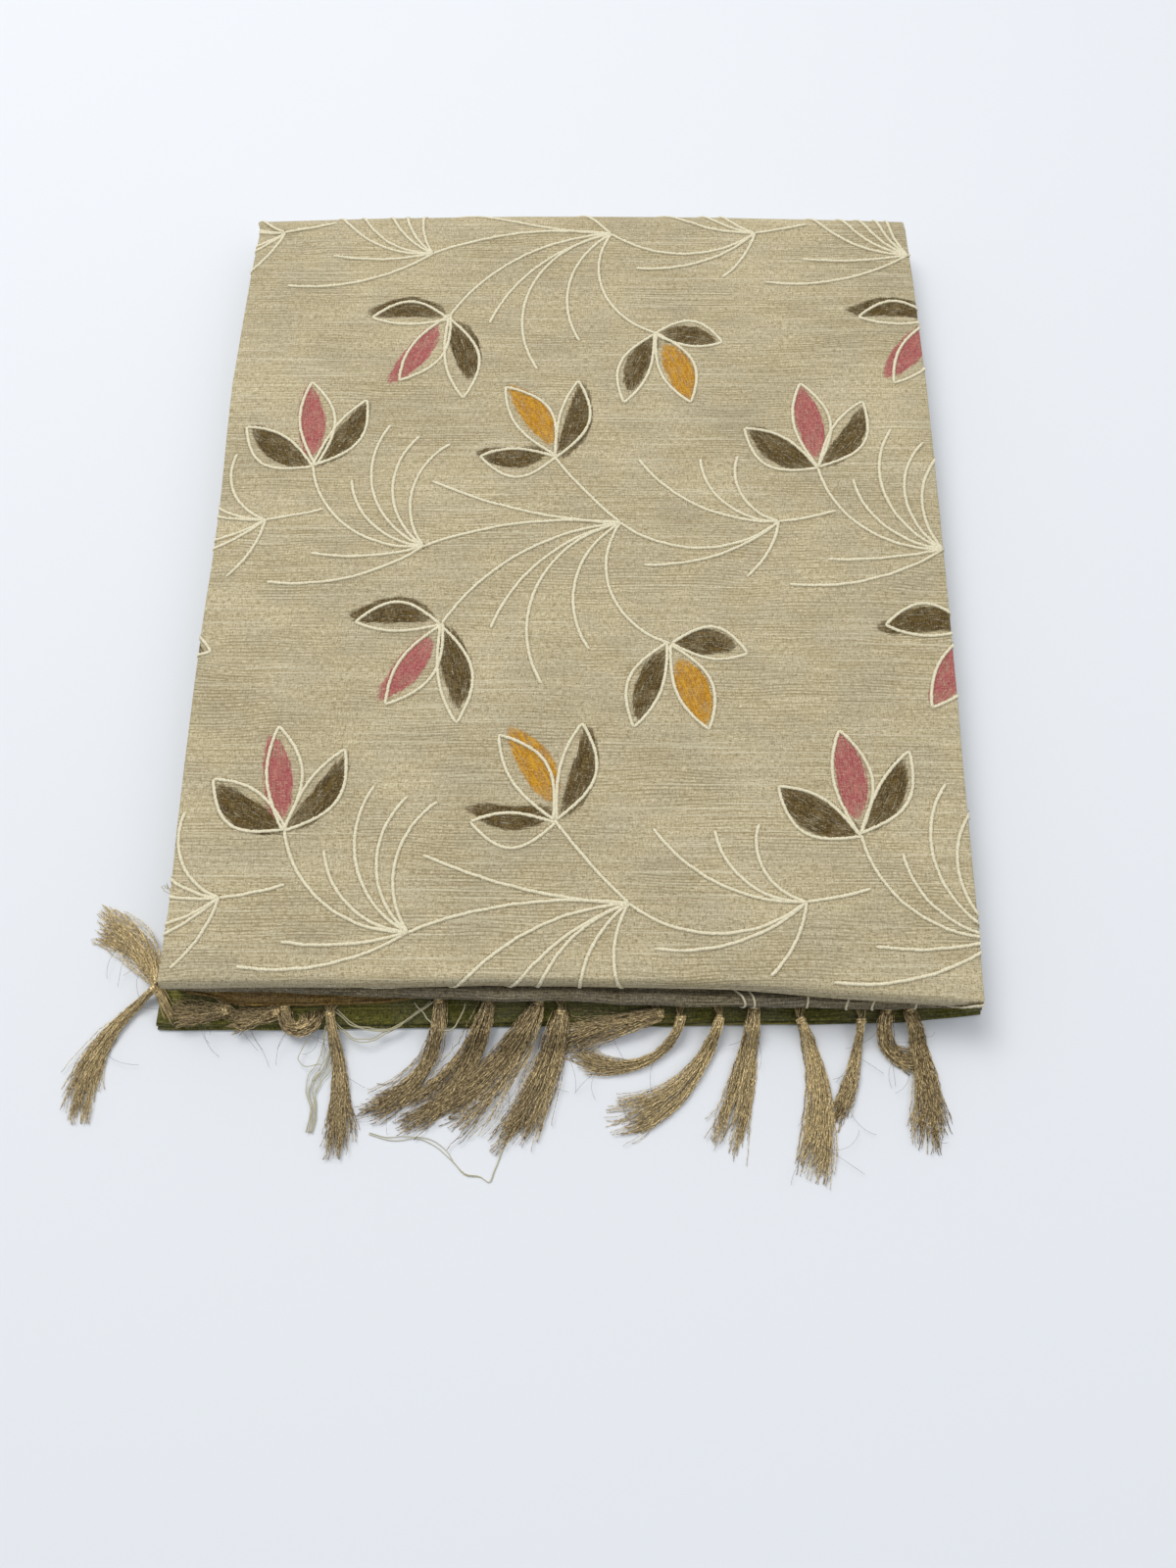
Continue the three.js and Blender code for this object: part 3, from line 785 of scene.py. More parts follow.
def needle_mark_shadows(line, source):
    """Small dark flecks at the thread's two sides, as (points, faces): the weave that the needle pulls, with
    painted shade there.
    """
    point, ahead, sideways, up = frames_on(line)
    count = len(line)
    corners = []
    # Each is a dark lozenge just above the cloth: painted shade beside the stitch, where the needle pulls the
    # weave.
    for side in (-1, 1):
        length = source.uniform(0.3, 0.8, (count, 1)) * source.choice([1.0, 0.5], (count, 1))
        inner = point + side * (0.5 * THREAD_WIDTH - 0.12) * sideways
        outer = inner + side * (0.12 + length) * sideways + source.normal(0, 0.12, (count, 1)) * ahead
        middle = 0.5 * (inner + outer) + 0.06 * up
        half = 0.5 * SHADOW_MARK_WIDTH * source.uniform(0.6, 1.1, (count, 1)) * side * ahead
        corners.append(np.stack([inner - 0.05 * up, outer - 0.03 * up, middle - half, middle + half], 1))
    corners = np.concatenate(corners)
    faces = np.array([[0, 2, 3], [1, 3, 2], [0, 1, 2], [0, 3, 1]])
    start = 4 * np.arange(len(corners))[:, None, None]
    return corners.reshape(-1, 3), [(faces[None] + start).reshape(-1, 3)]


def stitch(name, lines, material, shadow_material):
    """Raised threads along lines, with a dark needle mark of painted shade on each side at every stitch."""
    threads, shadow_marks, tones = [], [], []
    for number, line in enumerate(lines):
        source = np.random.default_rng(5000 + number)
        for part in shown_parts(line, STITCH_PITCH / 2):
            threads.append(raised_thread(part, source))
            shadow_marks.append(needle_mark_shadows(part[::2], source))
            tones.append(np.repeat(source.uniform(0.35, 1, len(part)), len(THREAD_ANGLES)))
    points, faces = joined([thread[:2] for thread in threads])
    uv = np.concatenate([thread[2] for thread in threads])
    build(name, points, faces, material, uv=uv, values={"tone": np.concatenate(tones)})
    points, faces = joined(shadow_marks)
    tone = np.repeat(np.random.default_rng(5).uniform(0, 1, len(points) // 4), 4)
    build(name.replace("stitches", "needle_mark_shadows"), points, faces, shadow_material,
          values={"tone": tone})


# ---- Paint on the petals ----

UNPAINTED = 9.0  # the greatest distance from paint that is told apart
PETAL_REACH = 60  # from a petal's foot, further than its paint goes


def paint_values(across, along):
    """For each place, its distance outside each colour of paint, and how the nearest brush stroke runs."""
    values = {"paint_" + name: np.full(across.shape, UNPAINTED) for name in PAINTS}
    values["paint_along"] = np.zeros(across.shape)
    values["paint_off"] = np.zeros(across.shape)
    values["paint_ragged"] = np.full(across.shape, 0.8)
    nearest = np.full(across.shape, UNPAINTED)
    for number, start in repeats():
        source = np.random.default_rng(900 + number)
        for petal in PETALS:
            foot = start + POINTS[petal["flower"]]
            tip = np.array(petal["tip"], float)
            length = np.linalg.norm(tip)
            angle = math.atan2(tip[1], tip[0]) + source.normal(0, 0.05)
            ahead = np.array([math.cos(angle), math.sin(angle)])
            sideways = np.array([-ahead[1], ahead[0]])
            first = petal["gap"] + source.normal(0, 0.8)
            last = length - petal["stop"] + source.normal(0, 1.2)
            width = petal["width"] * source.uniform(0.72, 0.88)
            off_by = petal["off"] + source.normal(0, 0.5)
            relative = np.stack([across - foot[0], along - foot[1]], -1)
            near = (np.abs(relative) < PETAL_REACH).all(-1)
            if not near.any():
                continue
            t = relative[near] @ ahead
            share = (t - first) / (last - first)
            middle = petal["bow"] * np.sin(np.pi * np.clip(t / length, 0, 1))
            off = relative[near] @ sideways - middle - off_by
            half = width / 2 * np.sin(np.pi * np.clip(share, 0.0, 1.0) ** 0.9) ** 0.55
            beyond = np.maximum(first - t, t - last)
            outside = np.where(beyond > 0, np.hypot(np.maximum(beyond, 0), np.abs(off)), np.abs(off) - half)
            key = "paint_" + petal["paint"]
            values[key][near] = np.minimum(values[key][near], outside)
            closer = outside < nearest[near]
            end = np.clip(np.abs(share - 0.5) * 2, 0, 1.2)
            for name, value in (("along", t + 40 * number), ("off", off + 17 * number),
                                ("ragged", 1.6 + 5.0 * np.clip(end - 0.55, 0, 1))):
                old = values["paint_" + name][near]
                values["paint_" + name][near] = np.where(closer, value, old)
            nearest[near] = np.minimum(nearest[near], outside)
    for name in PAINTS:
        values["paint_" + name] = np.clip(values["paint_" + name], -UNPAINTED, UNPAINTED)
    return values


# ---- Cloth pieces ----

def spaced(start, stop, spacing):
    """Places from start up to, but not at, stop."""
    return np.linspace(start, stop, max(int((stop - start) / spacing), 1), endpoint=False)


def outer_cloth(material):
    """The sari's outer cloth: out of the slit, round the front, over the top and round the back."""
    front, back = FRONT_LINE + FRONT_REACH, BACK_LINE - BACK_RADIUS
    front_end, back_end = front - FRONT_ARC[1][-1], back + BACK_ARC[1][-1]
    start, stop = front_end - SLIT_RETURN, back_end + BOTTOM_RETURN
    rows = np.concatenate([
        spaced(start, front_end, 4),
        spaced(front_end, front, 0.4),
        spaced(front, back, TOP_GRID),
        spaced(back, back_end, 1.1),
        np.linspace(back_end, stop, 6),
    ])
    turned = math.pi * EDGE_RADIUS
    past = np.concatenate([np.linspace(0, turned, 7)[1:], turned + np.linspace(0, WRAP_UNDER, 4)[1:]])
    flat = np.linspace(-1, 1, int(2 * HALF_WIDTH / TOP_GRID))
    share = np.concatenate([np.full(len(past), -1.0), flat, np.full(len(past), 1.0)])
    beyond = np.concatenate([-past[::-1], np.zeros(len(flat)), past])
    share, along = np.meshgrid(share, rows)
    across = share * (nearer_side(share, along) - EDGE_RADIUS) + beyond[None]
    # Rows near a fold follow the fold, which isn't quite straight.
    x = np.clip(across, -EDGE_LIMIT, EDGE_LIMIT)
    to_back = np.clip((along + FOLLOW_REACH) / (2 * FOLLOW_REACH), 0, 1)
    along = along + (upper_front(x) - FRONT_LINE) * (1 - to_back) + (back_edge(x) - BACK_LINE) * to_back
    outer, facing = on_outer(across, along)
    piece = sheet("outer_cloth", outer, facing, PLY, np.stack([across, along], -1), material,
                  ["upper_fold"], paint_values(across, along))


def fold_heights(low_run, high_run):
    return BUNDLE_BOTTOM + low_run * PITCH + 0.05, BUNDLE_BOTTOM + (high_run + 1) * PITCH - 0.05


def fold_front(x, kind, setback, seed):
    edge = front_edge(kind, x) + setback
    return edge + 0.35 * smooth_noise(x, 21, seed) + 0.2 * smooth_noise(x, 6, seed + 1)


def fold_sag(x, seed):
    return 0.2 * smooth_noise(x, 33, seed + 2)


def fold_path(low_run, high_run, reach, lip, depth):
    """A fold seen from the side, as (y, z, ny, nz): out along the top, up over a lip, round the front and in
    along the bottom. The lip stands above a furrow behind it."""
    z_low, z_high = fold_heights(low_run, high_run)
    top = z_high + lip
    rise, middle = (top - z_low) / 2, (top + z_low) / 2
    inward = np.concatenate([np.arange(depth, 5, -5.0), np.linspace(5, 0.25, 20)])
    furrow = z_high - 0.5 * lip
    inner_z = furrow + (top - furrow) * eased(np.clip((3.0 - inward) / 3.0, 0, 1))
    angle = np.linspace(0, np.pi, 46)
    back = np.arange(2, depth, 5.0)
    y = np.concatenate([inward, -reach * np.sin(angle), back]) + reach
    z = np.concatenate([inner_z, middle + rise * np.cos(angle), np.full(len(back), z_low)])
    ahead = unit(np.gradient(np.stack([y, z], -1), axis=0))
    return y, z, ahead[:, 1], -ahead[:, 0]


SECOND_FOLD = {"low_run": 4, "high_run": 7, "reach": 2.4, "lip": 1.3}
THIRD_FOLD = {"low_run": 2, "high_run": 3, "reach": 1.2, "lip": 0.0}
INNER_RIDGES = (16, 36, 58, 82, 108)  # how far round such a fold its plies press ridges, in degrees


def inner_fold(name, fold, kind, setback, material, replaces, seed, columns=150):
    """A fold of the lower pack across the whole front, with the ridges of the plies inside it."""
    y, z, ny, nz = fold_path(depth=30, **fold)
    across = np.linspace(-1, 1, columns)
    x = across * HALF_WIDTH
    round_at = np.degrees(np.arccos(np.clip(nz, -1, 1)))
    proud = 0
    for number, at in enumerate(INNER_RIDGES):
        centre = at + 7 * smooth_noise(x, 60, seed + 5 + number)
        strength = 0.24 * (1 + smooth_noise(x, 37, seed + 8 + number))
        proud = proud + strength * np.exp(-(((round_at[:, None] - centre) / RIDGE_WIDTH) ** 2))
    proud = proud * np.where((ny < 0) & (y < fold["reach"] + 0.1), 1, 0)[:, None]
    rows_y = y[:, None] + fold_front(x, kind, setback, seed)[None] + proud * ny[:, None]
    bulge = np.clip(-ny, 0, 1)[:, None]
    rows_z = z[:, None] + bulge * fold_sag(x, seed)[None] + proud * nz[:, None]
    rows_x = across[None] * (nearer_side(across, rows_y) - 0.5 - 0.3 * smooth_noise(rows_y, 9, seed))
    facing = np.stack(np.broadcast_arrays(0 * rows_x, ny[:, None], nz[:, None]), -1)
    outer = np.stack([rows_x, rows_y, rows_z], -1)
    lengths = so_far(np.hypot(np.diff(y), np.diff(z)))
    uv = np.stack([rows_x, lengths[:, None] + 400 * seed + 0 * rows_x], -1)
    piece = sheet(name, outer, facing, PLY, uv, material, replaces)


# The order in which the sari's length goes through the runs inside, from the slit to its free end. The runs
# are counted from the bottom. Run 0 is the pallu's, and run 15 and the front of run 8 are the outer cloth.
RUN_ORDER = [8, 7, 4, 11, 12, 3, 2, 13, 10, 5, 6, 9, 14, 1]


def run_height(run):
    return BUNDLE_BOTTOM + (run + 0.5) * PITCH


def layer_path(front, back):
    """The ribbon of cloth from the slit to its free end, as (y, z, ny, nz), seen from the side."""
    pieces = []
    forward = False
    centre_z = (BUNDLE_BOTTOM + BUNDLE_TOP) / 2
    step = 7.0
    for place, run in enumerate(RUN_ORDER):
        z = run_height(run)
        pack = "upper" if run > 7 else "lower" if run > 3 else "third" if run > 1 else "free"
        start = front[pack]
        stop = back - BACK_RADIUS
        if place == 0:
            start = start + SLIT_RETURN
        count = int((stop - start) / step)
        y = np.linspace(start, stop, count)
        way = -1 if forward else 1
        pieces.append(np.stack([y[::way], np.full(count, z), np.zeros(count), np.full(count, -way)], -1))
        if place + 1 == len(RUN_ORDER):
            break
        other = run_height(RUN_ORDER[place + 1])
        radius = abs(other - z) / 2
        steps = max(4, int(radius * 3))
        angle = np.linspace(0, np.pi, steps + 2)[1:-1]
        up = 1 if other > z else -1
        if forward:
            reach = radius if pack != "upper" else radius * FRONT_REACH / FRONT_RISE
            y = start - reach * np.sin(angle)
            turn_z = (z + other) / 2 - up * radius * np.cos(angle)
        else:
            y = stop + radius * np.sin(angle)
            turn_z = centre_z - up * radius * np.cos(angle)
        pieces.append(np.stack([y, turn_z, way * np.sin(angle), -up * np.cos(angle)], -1))
        forward = not forward
    return np.concatenate(pieces)


# How far the turns inside the lower pack lie behind the front of its solid.
TURN_SETBACKS = {"lower": 3.3, "third": 4.6, "free": 4.2}


def layer_edges(material):
    """The folded edges of the cloth inside, two to a run at each side, through all its runs and turns."""
    parts = []
    for sign in (-1, 1):
        x = sign * (HALF_WIDTH - 1.0)
        front = {pack: front_edge("lower", x) + setback for pack, setback in TURN_SETBACKS.items()}
        front["upper"] = upper_front(x) + FRONT_REACH
        path = layer_path(front, back_edge(x))
        travelled = so_far(np.hypot(np.diff(path[:, 0]), np.diff(path[:, 1])))
        for ply, seed in ((-0.25, 11), (0.25, 12)):
            inset = 0.55 + 0.45 * smooth_noise(travelled, 330, seed + sign)
            inset = inset + 0.22 * smooth_noise(travelled, 23, seed)
            inset = inset + 0.1 * smooth_noise(travelled, 6, seed + 3)
            middle = ply * PITCH
            half = 0.23 * PITCH
            angle = np.radians([-90, -45, 0, 45, 90])
            off_across = list(half * (1 - np.cos(angle))) + [7, 7]
            off_along = list(middle + half * np.sin(angle)) + [middle + half, middle - half]
            edge = side_edge(sign, path[:, 0])
            ring = []
            for inward, outward in zip(off_across, off_along):
                ring.append(np.stack([
                    sign * (edge - inset - inward),
                    path[:, 0] + outward * path[:, 2],
                    path[:, 1] + outward * path[:, 3],
                ], -1))
            points = np.stack(ring, 1)
            count, around, _ = points.shape
            faces = tube_faces(1, count, around, turned=sign > 0)
            uv = np.stack(np.broadcast_arrays(travelled[:, None], np.arange(around) * 0.3), -1)
            parts.append((points.reshape(-1, 3), faces, uv.reshape(-1, 2)))
    points, faces = joined([part[:2] for part in parts])
    uv = np.concatenate([part[2] for part in parts])
    build("layer_edges", points, faces, material, ["hidden_layers"], uv=uv)


def flat_cloth(name, path, front_at, back_at, ply, material, replaces, seed,
               sides=None, inset=0.0, columns=110, ripple=0.0):
    """A folded strip of cloth and its length. A row of its path has a share of the way from front to back, an
    offset from there, a height, and the way that the cloth faces."""
    share, offset, height, ny, nz = np.asarray(path, float).T[:, :, None]
    across = np.linspace(-1, 1, columns)
    x = across * HALF_WIDTH
    y = (1 - share) * front_at(x) + share * back_at(x) + offset
    edge = nearer_side(across, y, sides) - inset + 0.25 * smooth_noise(y + 50 * height, 13, seed)
    rows_x = across * edge
    z = height + ripple * smooth_noise(x, 14, seed + 4) * np.clip(-ny, 0, 1)
    facing = np.stack(np.broadcast_arrays(0 * rows_x, ny, nz), -1)
    outer = np.stack([rows_x, y, z + 0 * rows_x], -1) + ply / 2 * facing
    lengths = so_far(np.hypot(np.diff(y[:, columns // 2]), np.diff(height[:, 0])))
    uv = np.stack([rows_x, lengths[:, None] + 900 * seed + 0 * rows_x], -1)
    return sheet(name, outer, facing, ply, uv, material, replaces), lengths[-1]


def level(start, stop, z, facing, steps):
    """Rows of a level run: start and stop are (share, offset)."""
    share = np.linspace(0, 1, steps)[:, None]
    ends = np.array(start, float) * (1 - share) + np.array(stop, float) * share
    return [[w, off, z, 0.0, facing] for w, off in ends]


def bend(base, offset, z, radius, first, last, steps, facing=1):
    """Rows of a turn about a centre, between two angles in degrees."""
    rows = []
    for angle in np.radians(np.linspace(first, last, steps)):
        cos, sin = math.cos(angle), math.sin(angle)
        rows.append([base, offset + radius * cos, z + radius * sin, facing * cos, facing * sin])
    return rows


# How far the pallu's hem lies behind the solid's edge at each place across: it shows at the left only.
HEM_SETBACKS = table(
    "x back",
    (-150, 3.4),
    (-140, 2.0),
    (-127, 1.4),
    (-123, 0.1),
    (-90, 0.3),
    (-66, 1.4),
    (-52, 3.4),
    (150, 4.0),
)


def pallu_front(x):
    return front_edge("pallu", x) + stations(HEM_SETBACKS, x)


def pallu_run(material):
    """The sari's lowest run: its pallu, whose hem shows at the front."""
    z = BUNDLE_BOTTOM + 0.5 * PITCH
    path = level((1, -BACK_RADIUS - 24), (0, 30), z, -1, 24) + level((0, 28), (0, 0.8), z, -1, 12)
    piece, length = flat_cloth("pallu_run", path, pallu_front, back_edge, PLY_SHARE * PITCH, material,
                               ["pallu_end"], seed=21, inset=0.9)


HEM_REACH = 139  # how far it goes to each side
HEM_RADIUS = 0.72


def hem(material):
    """The pallu's rolled hem, along its front edge."""
    x = np.linspace(-HEM_REACH, HEM_REACH, 240)
    y = pallu_front(x) + 0.9 + 0.15 * smooth_noise(x, 5, 31)
    z = BUNDLE_BOTTOM + 0.5 * PITCH + 0.1 + 0.12 * smooth_noise(x, 9, 32)
    points, faces = tubes(np.stack([x, y, z + 0 * x], -1)[None], HEM_RADIUS, sides=8)
    uv = np.stack([np.repeat(x, 8), np.tile(np.arange(8) * 0.5, len(x))], -1)
    build("pallu_hem", points, faces, material, uv=uv)


def blouse_front(x):
    return front_edge("blouse", x) + 0.3 + 0.3 * smooth_noise(x, 17, 41)


def blouse_back(x):
    return np.full_like(x, BLOUSE_BACK)


def blouse_cloth(material):
    """The green blouse cloth, in four runs with two folds at the front and one at the back."""
    ply = PLY_SHARE * BLOUSE_PITCH
    radius = BLOUSE_PITCH / 2
    heights = [(k + 0.5) * BLOUSE_PITCH for k in range(BLOUSE_RUNS)]
    far = (1, -BLOUSE_BACK_INSET)
    path = []
    for low, high, setback in zip(heights[::2], heights[1::2], BLOUSE_SETBACKS):
        if path:
            path += bend(*far, low - radius, radius, -80, 80, 7, facing=-1)
        near = (0, setback + radius + ply / 2)
        path += level(far, (0, 30), low, -1, 22) + level((0, 28), near, low, -1, 10)
        path += bend(*near, low + radius, radius, -100, -260, 9)
        path += level(near, (0, 30), high, 1, 10) + level((0, 34), far, high, 1, 22)
    piece, length = flat_cloth("blouse_cloth", path, blouse_front, blouse_back, ply, material,
                               ["blouse_piece"], seed=23, sides=BLOUSE_SIDES, columns=60, ripple=0.12)


# ---- Tassels ----
# Much the same rows as the solids have: the knot's place, the way the threads leave it and how far they turn,
# in degrees towards +X from straight forward, their length, and the width that they fan out to. "tuck" is how
# far it starts behind the edge, "pale" how pale its threads are, and "early" and "open" how soon it turns and
# fans out.

TASSELS = [
    {"x": -149.6, "y": -166.2, "lean": -149, "turn": 34, "length": 37, "fan": 14, "open": 0.6, "pale": 1},
    {"x": -150.4, "y": -168.6, "lean": -55, "turn": 58, "length": 53, "fan": 12, "open": 2.4, "pale": 1},
    {"x": -126.5, "lean": -84, "turn": -8, "length": 19, "fan": 8, "tuck": 3, "pale": 0.44},
    {"x": -108, "lean": -74, "turn": -12, "length": 16, "fan": 7, "tuck": 3, "pale": 0.34},
    {"x": -102.5, "lean": 0, "turn": 190, "length": 17, "fan": 5, "tuck": 2, "pale": 0.34},
    {"x": -86, "lean": 16, "turn": -14, "length": 49, "fan": 12, "pale": 0.49},
    {"x": -47, "lean": -2, "turn": -74, "length": 46, "fan": 10, "tuck": 5, "pale": 0.29},
    {"x": -30, "lean": -12, "turn": -54, "length": 50, "fan": 13, "tuck": 5, "pale": 0.34},
    {"x": -12.5, "lean": -20, "turn": -42, "length": 54, "fan": 16, "tuck": 4, "pale": 0.39},
    {"x": -3, "lean": -8, "turn": -32, "length": 53, "fan": 13, "tuck": 1, "pale": 0.49},
    {"x": 28, "lean": -74, "turn": -4, "length": 32, "fan": 10, "tuck": 5, "pale": 0.5},
    {"x": 40, "lean": -2, "turn": -124, "length": 51, "fan": 5, "early": 0.7, "open": 2.2, "pale": 0.75},
    {"x": 54, "lean": -15, "turn": -62, "length": 57, "fan": 9, "pale": 0.84},
    {"x": 66, "lean": -8, "turn": -14, "length": 47, "fan": 9, "tuck": 4, "pale": 0.84},
    {"x": 83, "lean": 24, "turn": -46, "length": 54, "fan": 14, "pale": 0.99},
    {"x": 104.5, "lean": -4, "turn": -26, "length": 38, "fan": 6, "pale": 0.44},
    {"x": 113, "lean": -14, "turn": 110, "length": 22, "fan": 7, "tuck": 4, "pale": 0.39},
    {"x": 123, "lean": 18, "turn": -22, "length": 45, "fan": 12, "tuck": 4, "pale": 0.34},
]
KNOT_RADIUS = 1.5
KNOT_YARN_RADIUS = 0.55
YARN_RADIUS = 0.17
LEAST_THREADS = 72  # in a tassel, which has more the wider it fans out
TUCKED_NECK = 1.6  # half the width of the neck of a tassel that starts under the fold
OPEN_NECK = 1.1  # and of one that doesn't
LOCKS = 8  # that a tassel's threads cling together in
HAIR_RADIUS = 0.06
SINK_LENGTH = 8  # over which a thread comes down past the blouse cloth's edge
CORD_END = (-143.3, -178.6)  # of the pallu's edge cord, which the two threads at the corner are tied to


def tassel_line(row, steps):
    """A tassel's line in plan, and the way sideways at each point. Its start is tucked in under the fold."""
    tuck = row.get("tuck", 0)
    length = row["length"] + tuck
    y = row.get("y", front_edge("pallu", row["x"]) - 2.5)
    share = np.arange(steps) / (steps - 1)
    turned = np.maximum(share - tuck / length, 0) * length / row["length"]
    angle = np.radians(row["lean"] + row["turn"] * turned ** row.get("early", 1.0))
    ahead = np.stack([np.sin(angle), -np.cos(angle)], -1)
    middle = (ahead[:-1] + ahead[1:]) / 2
    start = np.array([row["x"], y]) - tuck * ahead[0]
    line = start + np.concatenate([[[0, 0]], np.cumsum(middle * length / (steps - 1), 0)])
    return line, np.stack([-ahead[:, 1], ahead[:, 0]], -1)


def support(x, y):
    """The height of what a thread lies on: the blouse cloth, or past its edges the surface beneath."""
    past_front = front_edge("blouse", x) - 1.5 - y
    past_side = -side_edge(-1, y, BLOUSE_SIDES) - 1.5 - x
    return BLOUSE_TOP * (1 - eased(np.clip(np.maximum(past_front, past_side) / SINK_LENGTH, 0, 1)))


def tassel(number, row, material):
    """One tassel: crimped threads that leave a knot together, cling in locks and fan out to loose tips."""
    source = np.random.default_rng(300 + number)
    threads = LEAST_THREADS + 9 * row["fan"] // 2
    steps = 4 + row["length"] // 2
    line, sideways = tassel_line(row, steps)
    share = np.linspace(0, 1, steps)
    lock = source.choice(LOCKS, threads, p=source.dirichlet(np.full(LOCKS, 2.5)))
    angle = 2 * np.pi * (np.arange(LOCKS) + source.uniform(-0.3, 0.3, LOCKS)) / LOCKS
    size = np.sqrt(source.uniform(0.1, 1, LOCKS))
    loose = source.normal(0, 1, (threads, 1))
    lane = (size * np.cos(angle))[lock][:, None] + loose * (0.4 - 0.24 * np.sqrt(share))
    height = np.clip(0.5 + 0.5 * (size * np.sin(angle))[lock] + 0.2 * source.normal(0, 1, threads), 0, 1.1)
    strays = source.standard_t(3, LOCKS).clip(-3, 3) * 0.13
    bend = strays[lock][:, None] * share ** 2 * row["fan"]
    opened = share ** row.get("open", 0.85 if "tuck" in row else 1.25)
    bow = source.normal(0, 0.07, LOCKS)[lock][:, None] * np.sin(np.pi * share) * row["fan"] * opened ** 0.5
    neck = TUCKED_NECK if "tuck" in row else OPEN_NECK
    half = neck + (row["fan"] * 0.55 - neck) * opened
    thick = 3.0 - 1.5 * share
    reach = (source.normal(0.88, 0.06, LOCKS)[lock] + source.normal(0, 0.06, threads)).clip(0.5, 1.03)
    at = share[None] * reach[:, None] * (steps - 1)
    low = np.minimum(at.astype(int), steps - 2)
    t = (at - low)[..., None]
    middle = line[low] * (1 - t) + line[low + 1] * t
    side = unit(sideways[low] * (1 - t) + sideways[low + 1] * t)
    phase = source.uniform(0, 2 * np.pi, (threads, 3))
    turns = source.uniform(0.6, 1.8, (threads, 1))
    freed = np.minimum(share * 8, 1)
    crimp = 0.17 * freed * source.normal(0, 1, (threads, steps))
    sway = 0.9 * opened * np.sin(2 * np.pi * turns * share + phase[:, :1])
    stray = source.standard_t(3, (threads, 1)).clip(-5, 5) * share ** 3 * 0.9
    off = lane * half + bend + bow + crimp + sway + stray
    plan = middle + off[..., None] * side
    z = support(plan[..., 0], plan[..., 1]) + YARN_RADIUS + height[:, None] * thick
    z = z + 0.25 * freed * np.abs(source.normal(0, 1, (threads, steps)))
    paths = np.concatenate([plan, z[..., None]], -1)
    radius = YARN_RADIUS * (1 - 0.25 * share)[None] * source.uniform(0.75, 1.3, (threads, 1))
    tone = row["pale"] + 0.5 * (source.uniform(0, 1, LOCKS)[lock] - 0.5) + 0.32 * source.normal(0, 1, threads)
    tone = np.clip(tone, 0, 1)[:, None] * (1 - (0.5 - 0.4 * row["pale"]) * share ** 4)
    knot_tube = knot(line, sideways, source)
    root_tubes = roots(row, line, source)
    points, faces = joined([tubes(paths, radius), knot_tube, root_tubes])
    extra = (len(points) - tone.size * 3) // 6
    uv = np.concatenate([tube_places(threads, steps, 3, row["length"] / steps, 200 * number),
                         tube_places(1, extra, 6, 0.6)])
    tones = [np.repeat(tone.ravel(), 3), np.full(len(knot_tube[0]), 0.9), np.full(len(root_tubes[0]), 0.5)]
    name = f"tassel_{number:02d}"
    build("threads_" + name, points, faces, material, [name],
          uv=uv, values={"tone": np.concatenate(tones)})


def knot(line, sideways, source):
    """An overhand knot: a few uneven turns of thick yarn round the threads' neck."""
    turns, steps = 2.3, 40
    share = np.linspace(0, 1, steps)
    angle = 2 * np.pi * turns * share + source.uniform(0, 6.28)
    ahead = unit(line[1] - line[0])
    centre = np.array([line[0][0], line[0][1], support(*line[0]) + 2.0])
    radius = KNOT_RADIUS * (0.7 + 0.3 * np.sin(np.pi * share)) * (1 + 0.1 * smooth_noise(share * 9, 1.1, 4))
    along = (share - 0.5) * 2.2 + 0.25 * np.sin(angle)
    side3 = np.array([sideways[0][0], sideways[0][1], 0])
    ahead3 = np.array([ahead[0], ahead[1], 0])
    up3 = np.array([0, 0, 1.0])
    path = centre + along[:, None] * ahead3 + (radius * np.cos(angle))[:, None] * side3
    path = path + (radius * np.sin(angle))[:, None] * up3 * 0.9
    return tubes(path[None], KNOT_YARN_RADIUS, sides=6)


def roots(row, line, source):
    """The threads that gather into a knot: out of the hem, or at the corner along its edge cord."""
    count, steps = (26 if "y" in row else 12), 8
    share = np.linspace(0, 1, steps)
    start_x = row["x"] + source.uniform(-3.2, 3.2, count)
    start_y = pallu_front(start_x) + 1.0
    if "y" in row:
        start_x = CORD_END[0] + source.normal(0, 1.0, count)
        start_y = CORD_END[1] + source.normal(0, 0.8, count)
    start = np.stack([start_x, start_y, np.full(count, BUNDLE_BOTTOM + 0.6)], -1)
    end = np.array([line[0][0], line[0][1], support(*line[0]) + 1.8]) + source.normal(0, 0.5, (count, 3))
    paths = start[:, None] * (1 - share)[None, :, None] + end[:, None] * share[None, :, None]
    paths[..., 2] += 0.5 * np.sin(np.pi * share)[None]
    return tubes(paths, YARN_RADIUS)


def flyaways(material):
    """Single dark hairs of thread that stand off the tassels."""
    paths = []
    steps = 16
    share = np.linspace(0, 1, steps)
    for number, row in enumerate(TASSELS):
        source = np.random.default_rng(700 + number)
        line, _ = tassel_line(row, 20)
        for _ in range(5):
            start = line[source.integers(2, 16)]
            heading = math.radians(source.uniform(-70, 70))
            curl = source.normal(0, 1.4)
            length = source.uniform(8, 20)
            angle = heading + curl * share
            step = np.stack([np.sin(angle), -np.cos(angle)], -1) * length / steps
            plan = start + np.cumsum(step, 0)
            z = support(plan[:, 0], plan[:, 1]) + 1.4 + source.uniform(0, 3) * np.sin(np.pi * share)
            paths.append(np.concatenate([plan, z[:, None]], -1))
    points, faces = tubes(np.array(paths), HAIR_RADIUS)
    build("stray_hairs", points, faces, material, values={"tone": np.full(len(points), 0.5)})


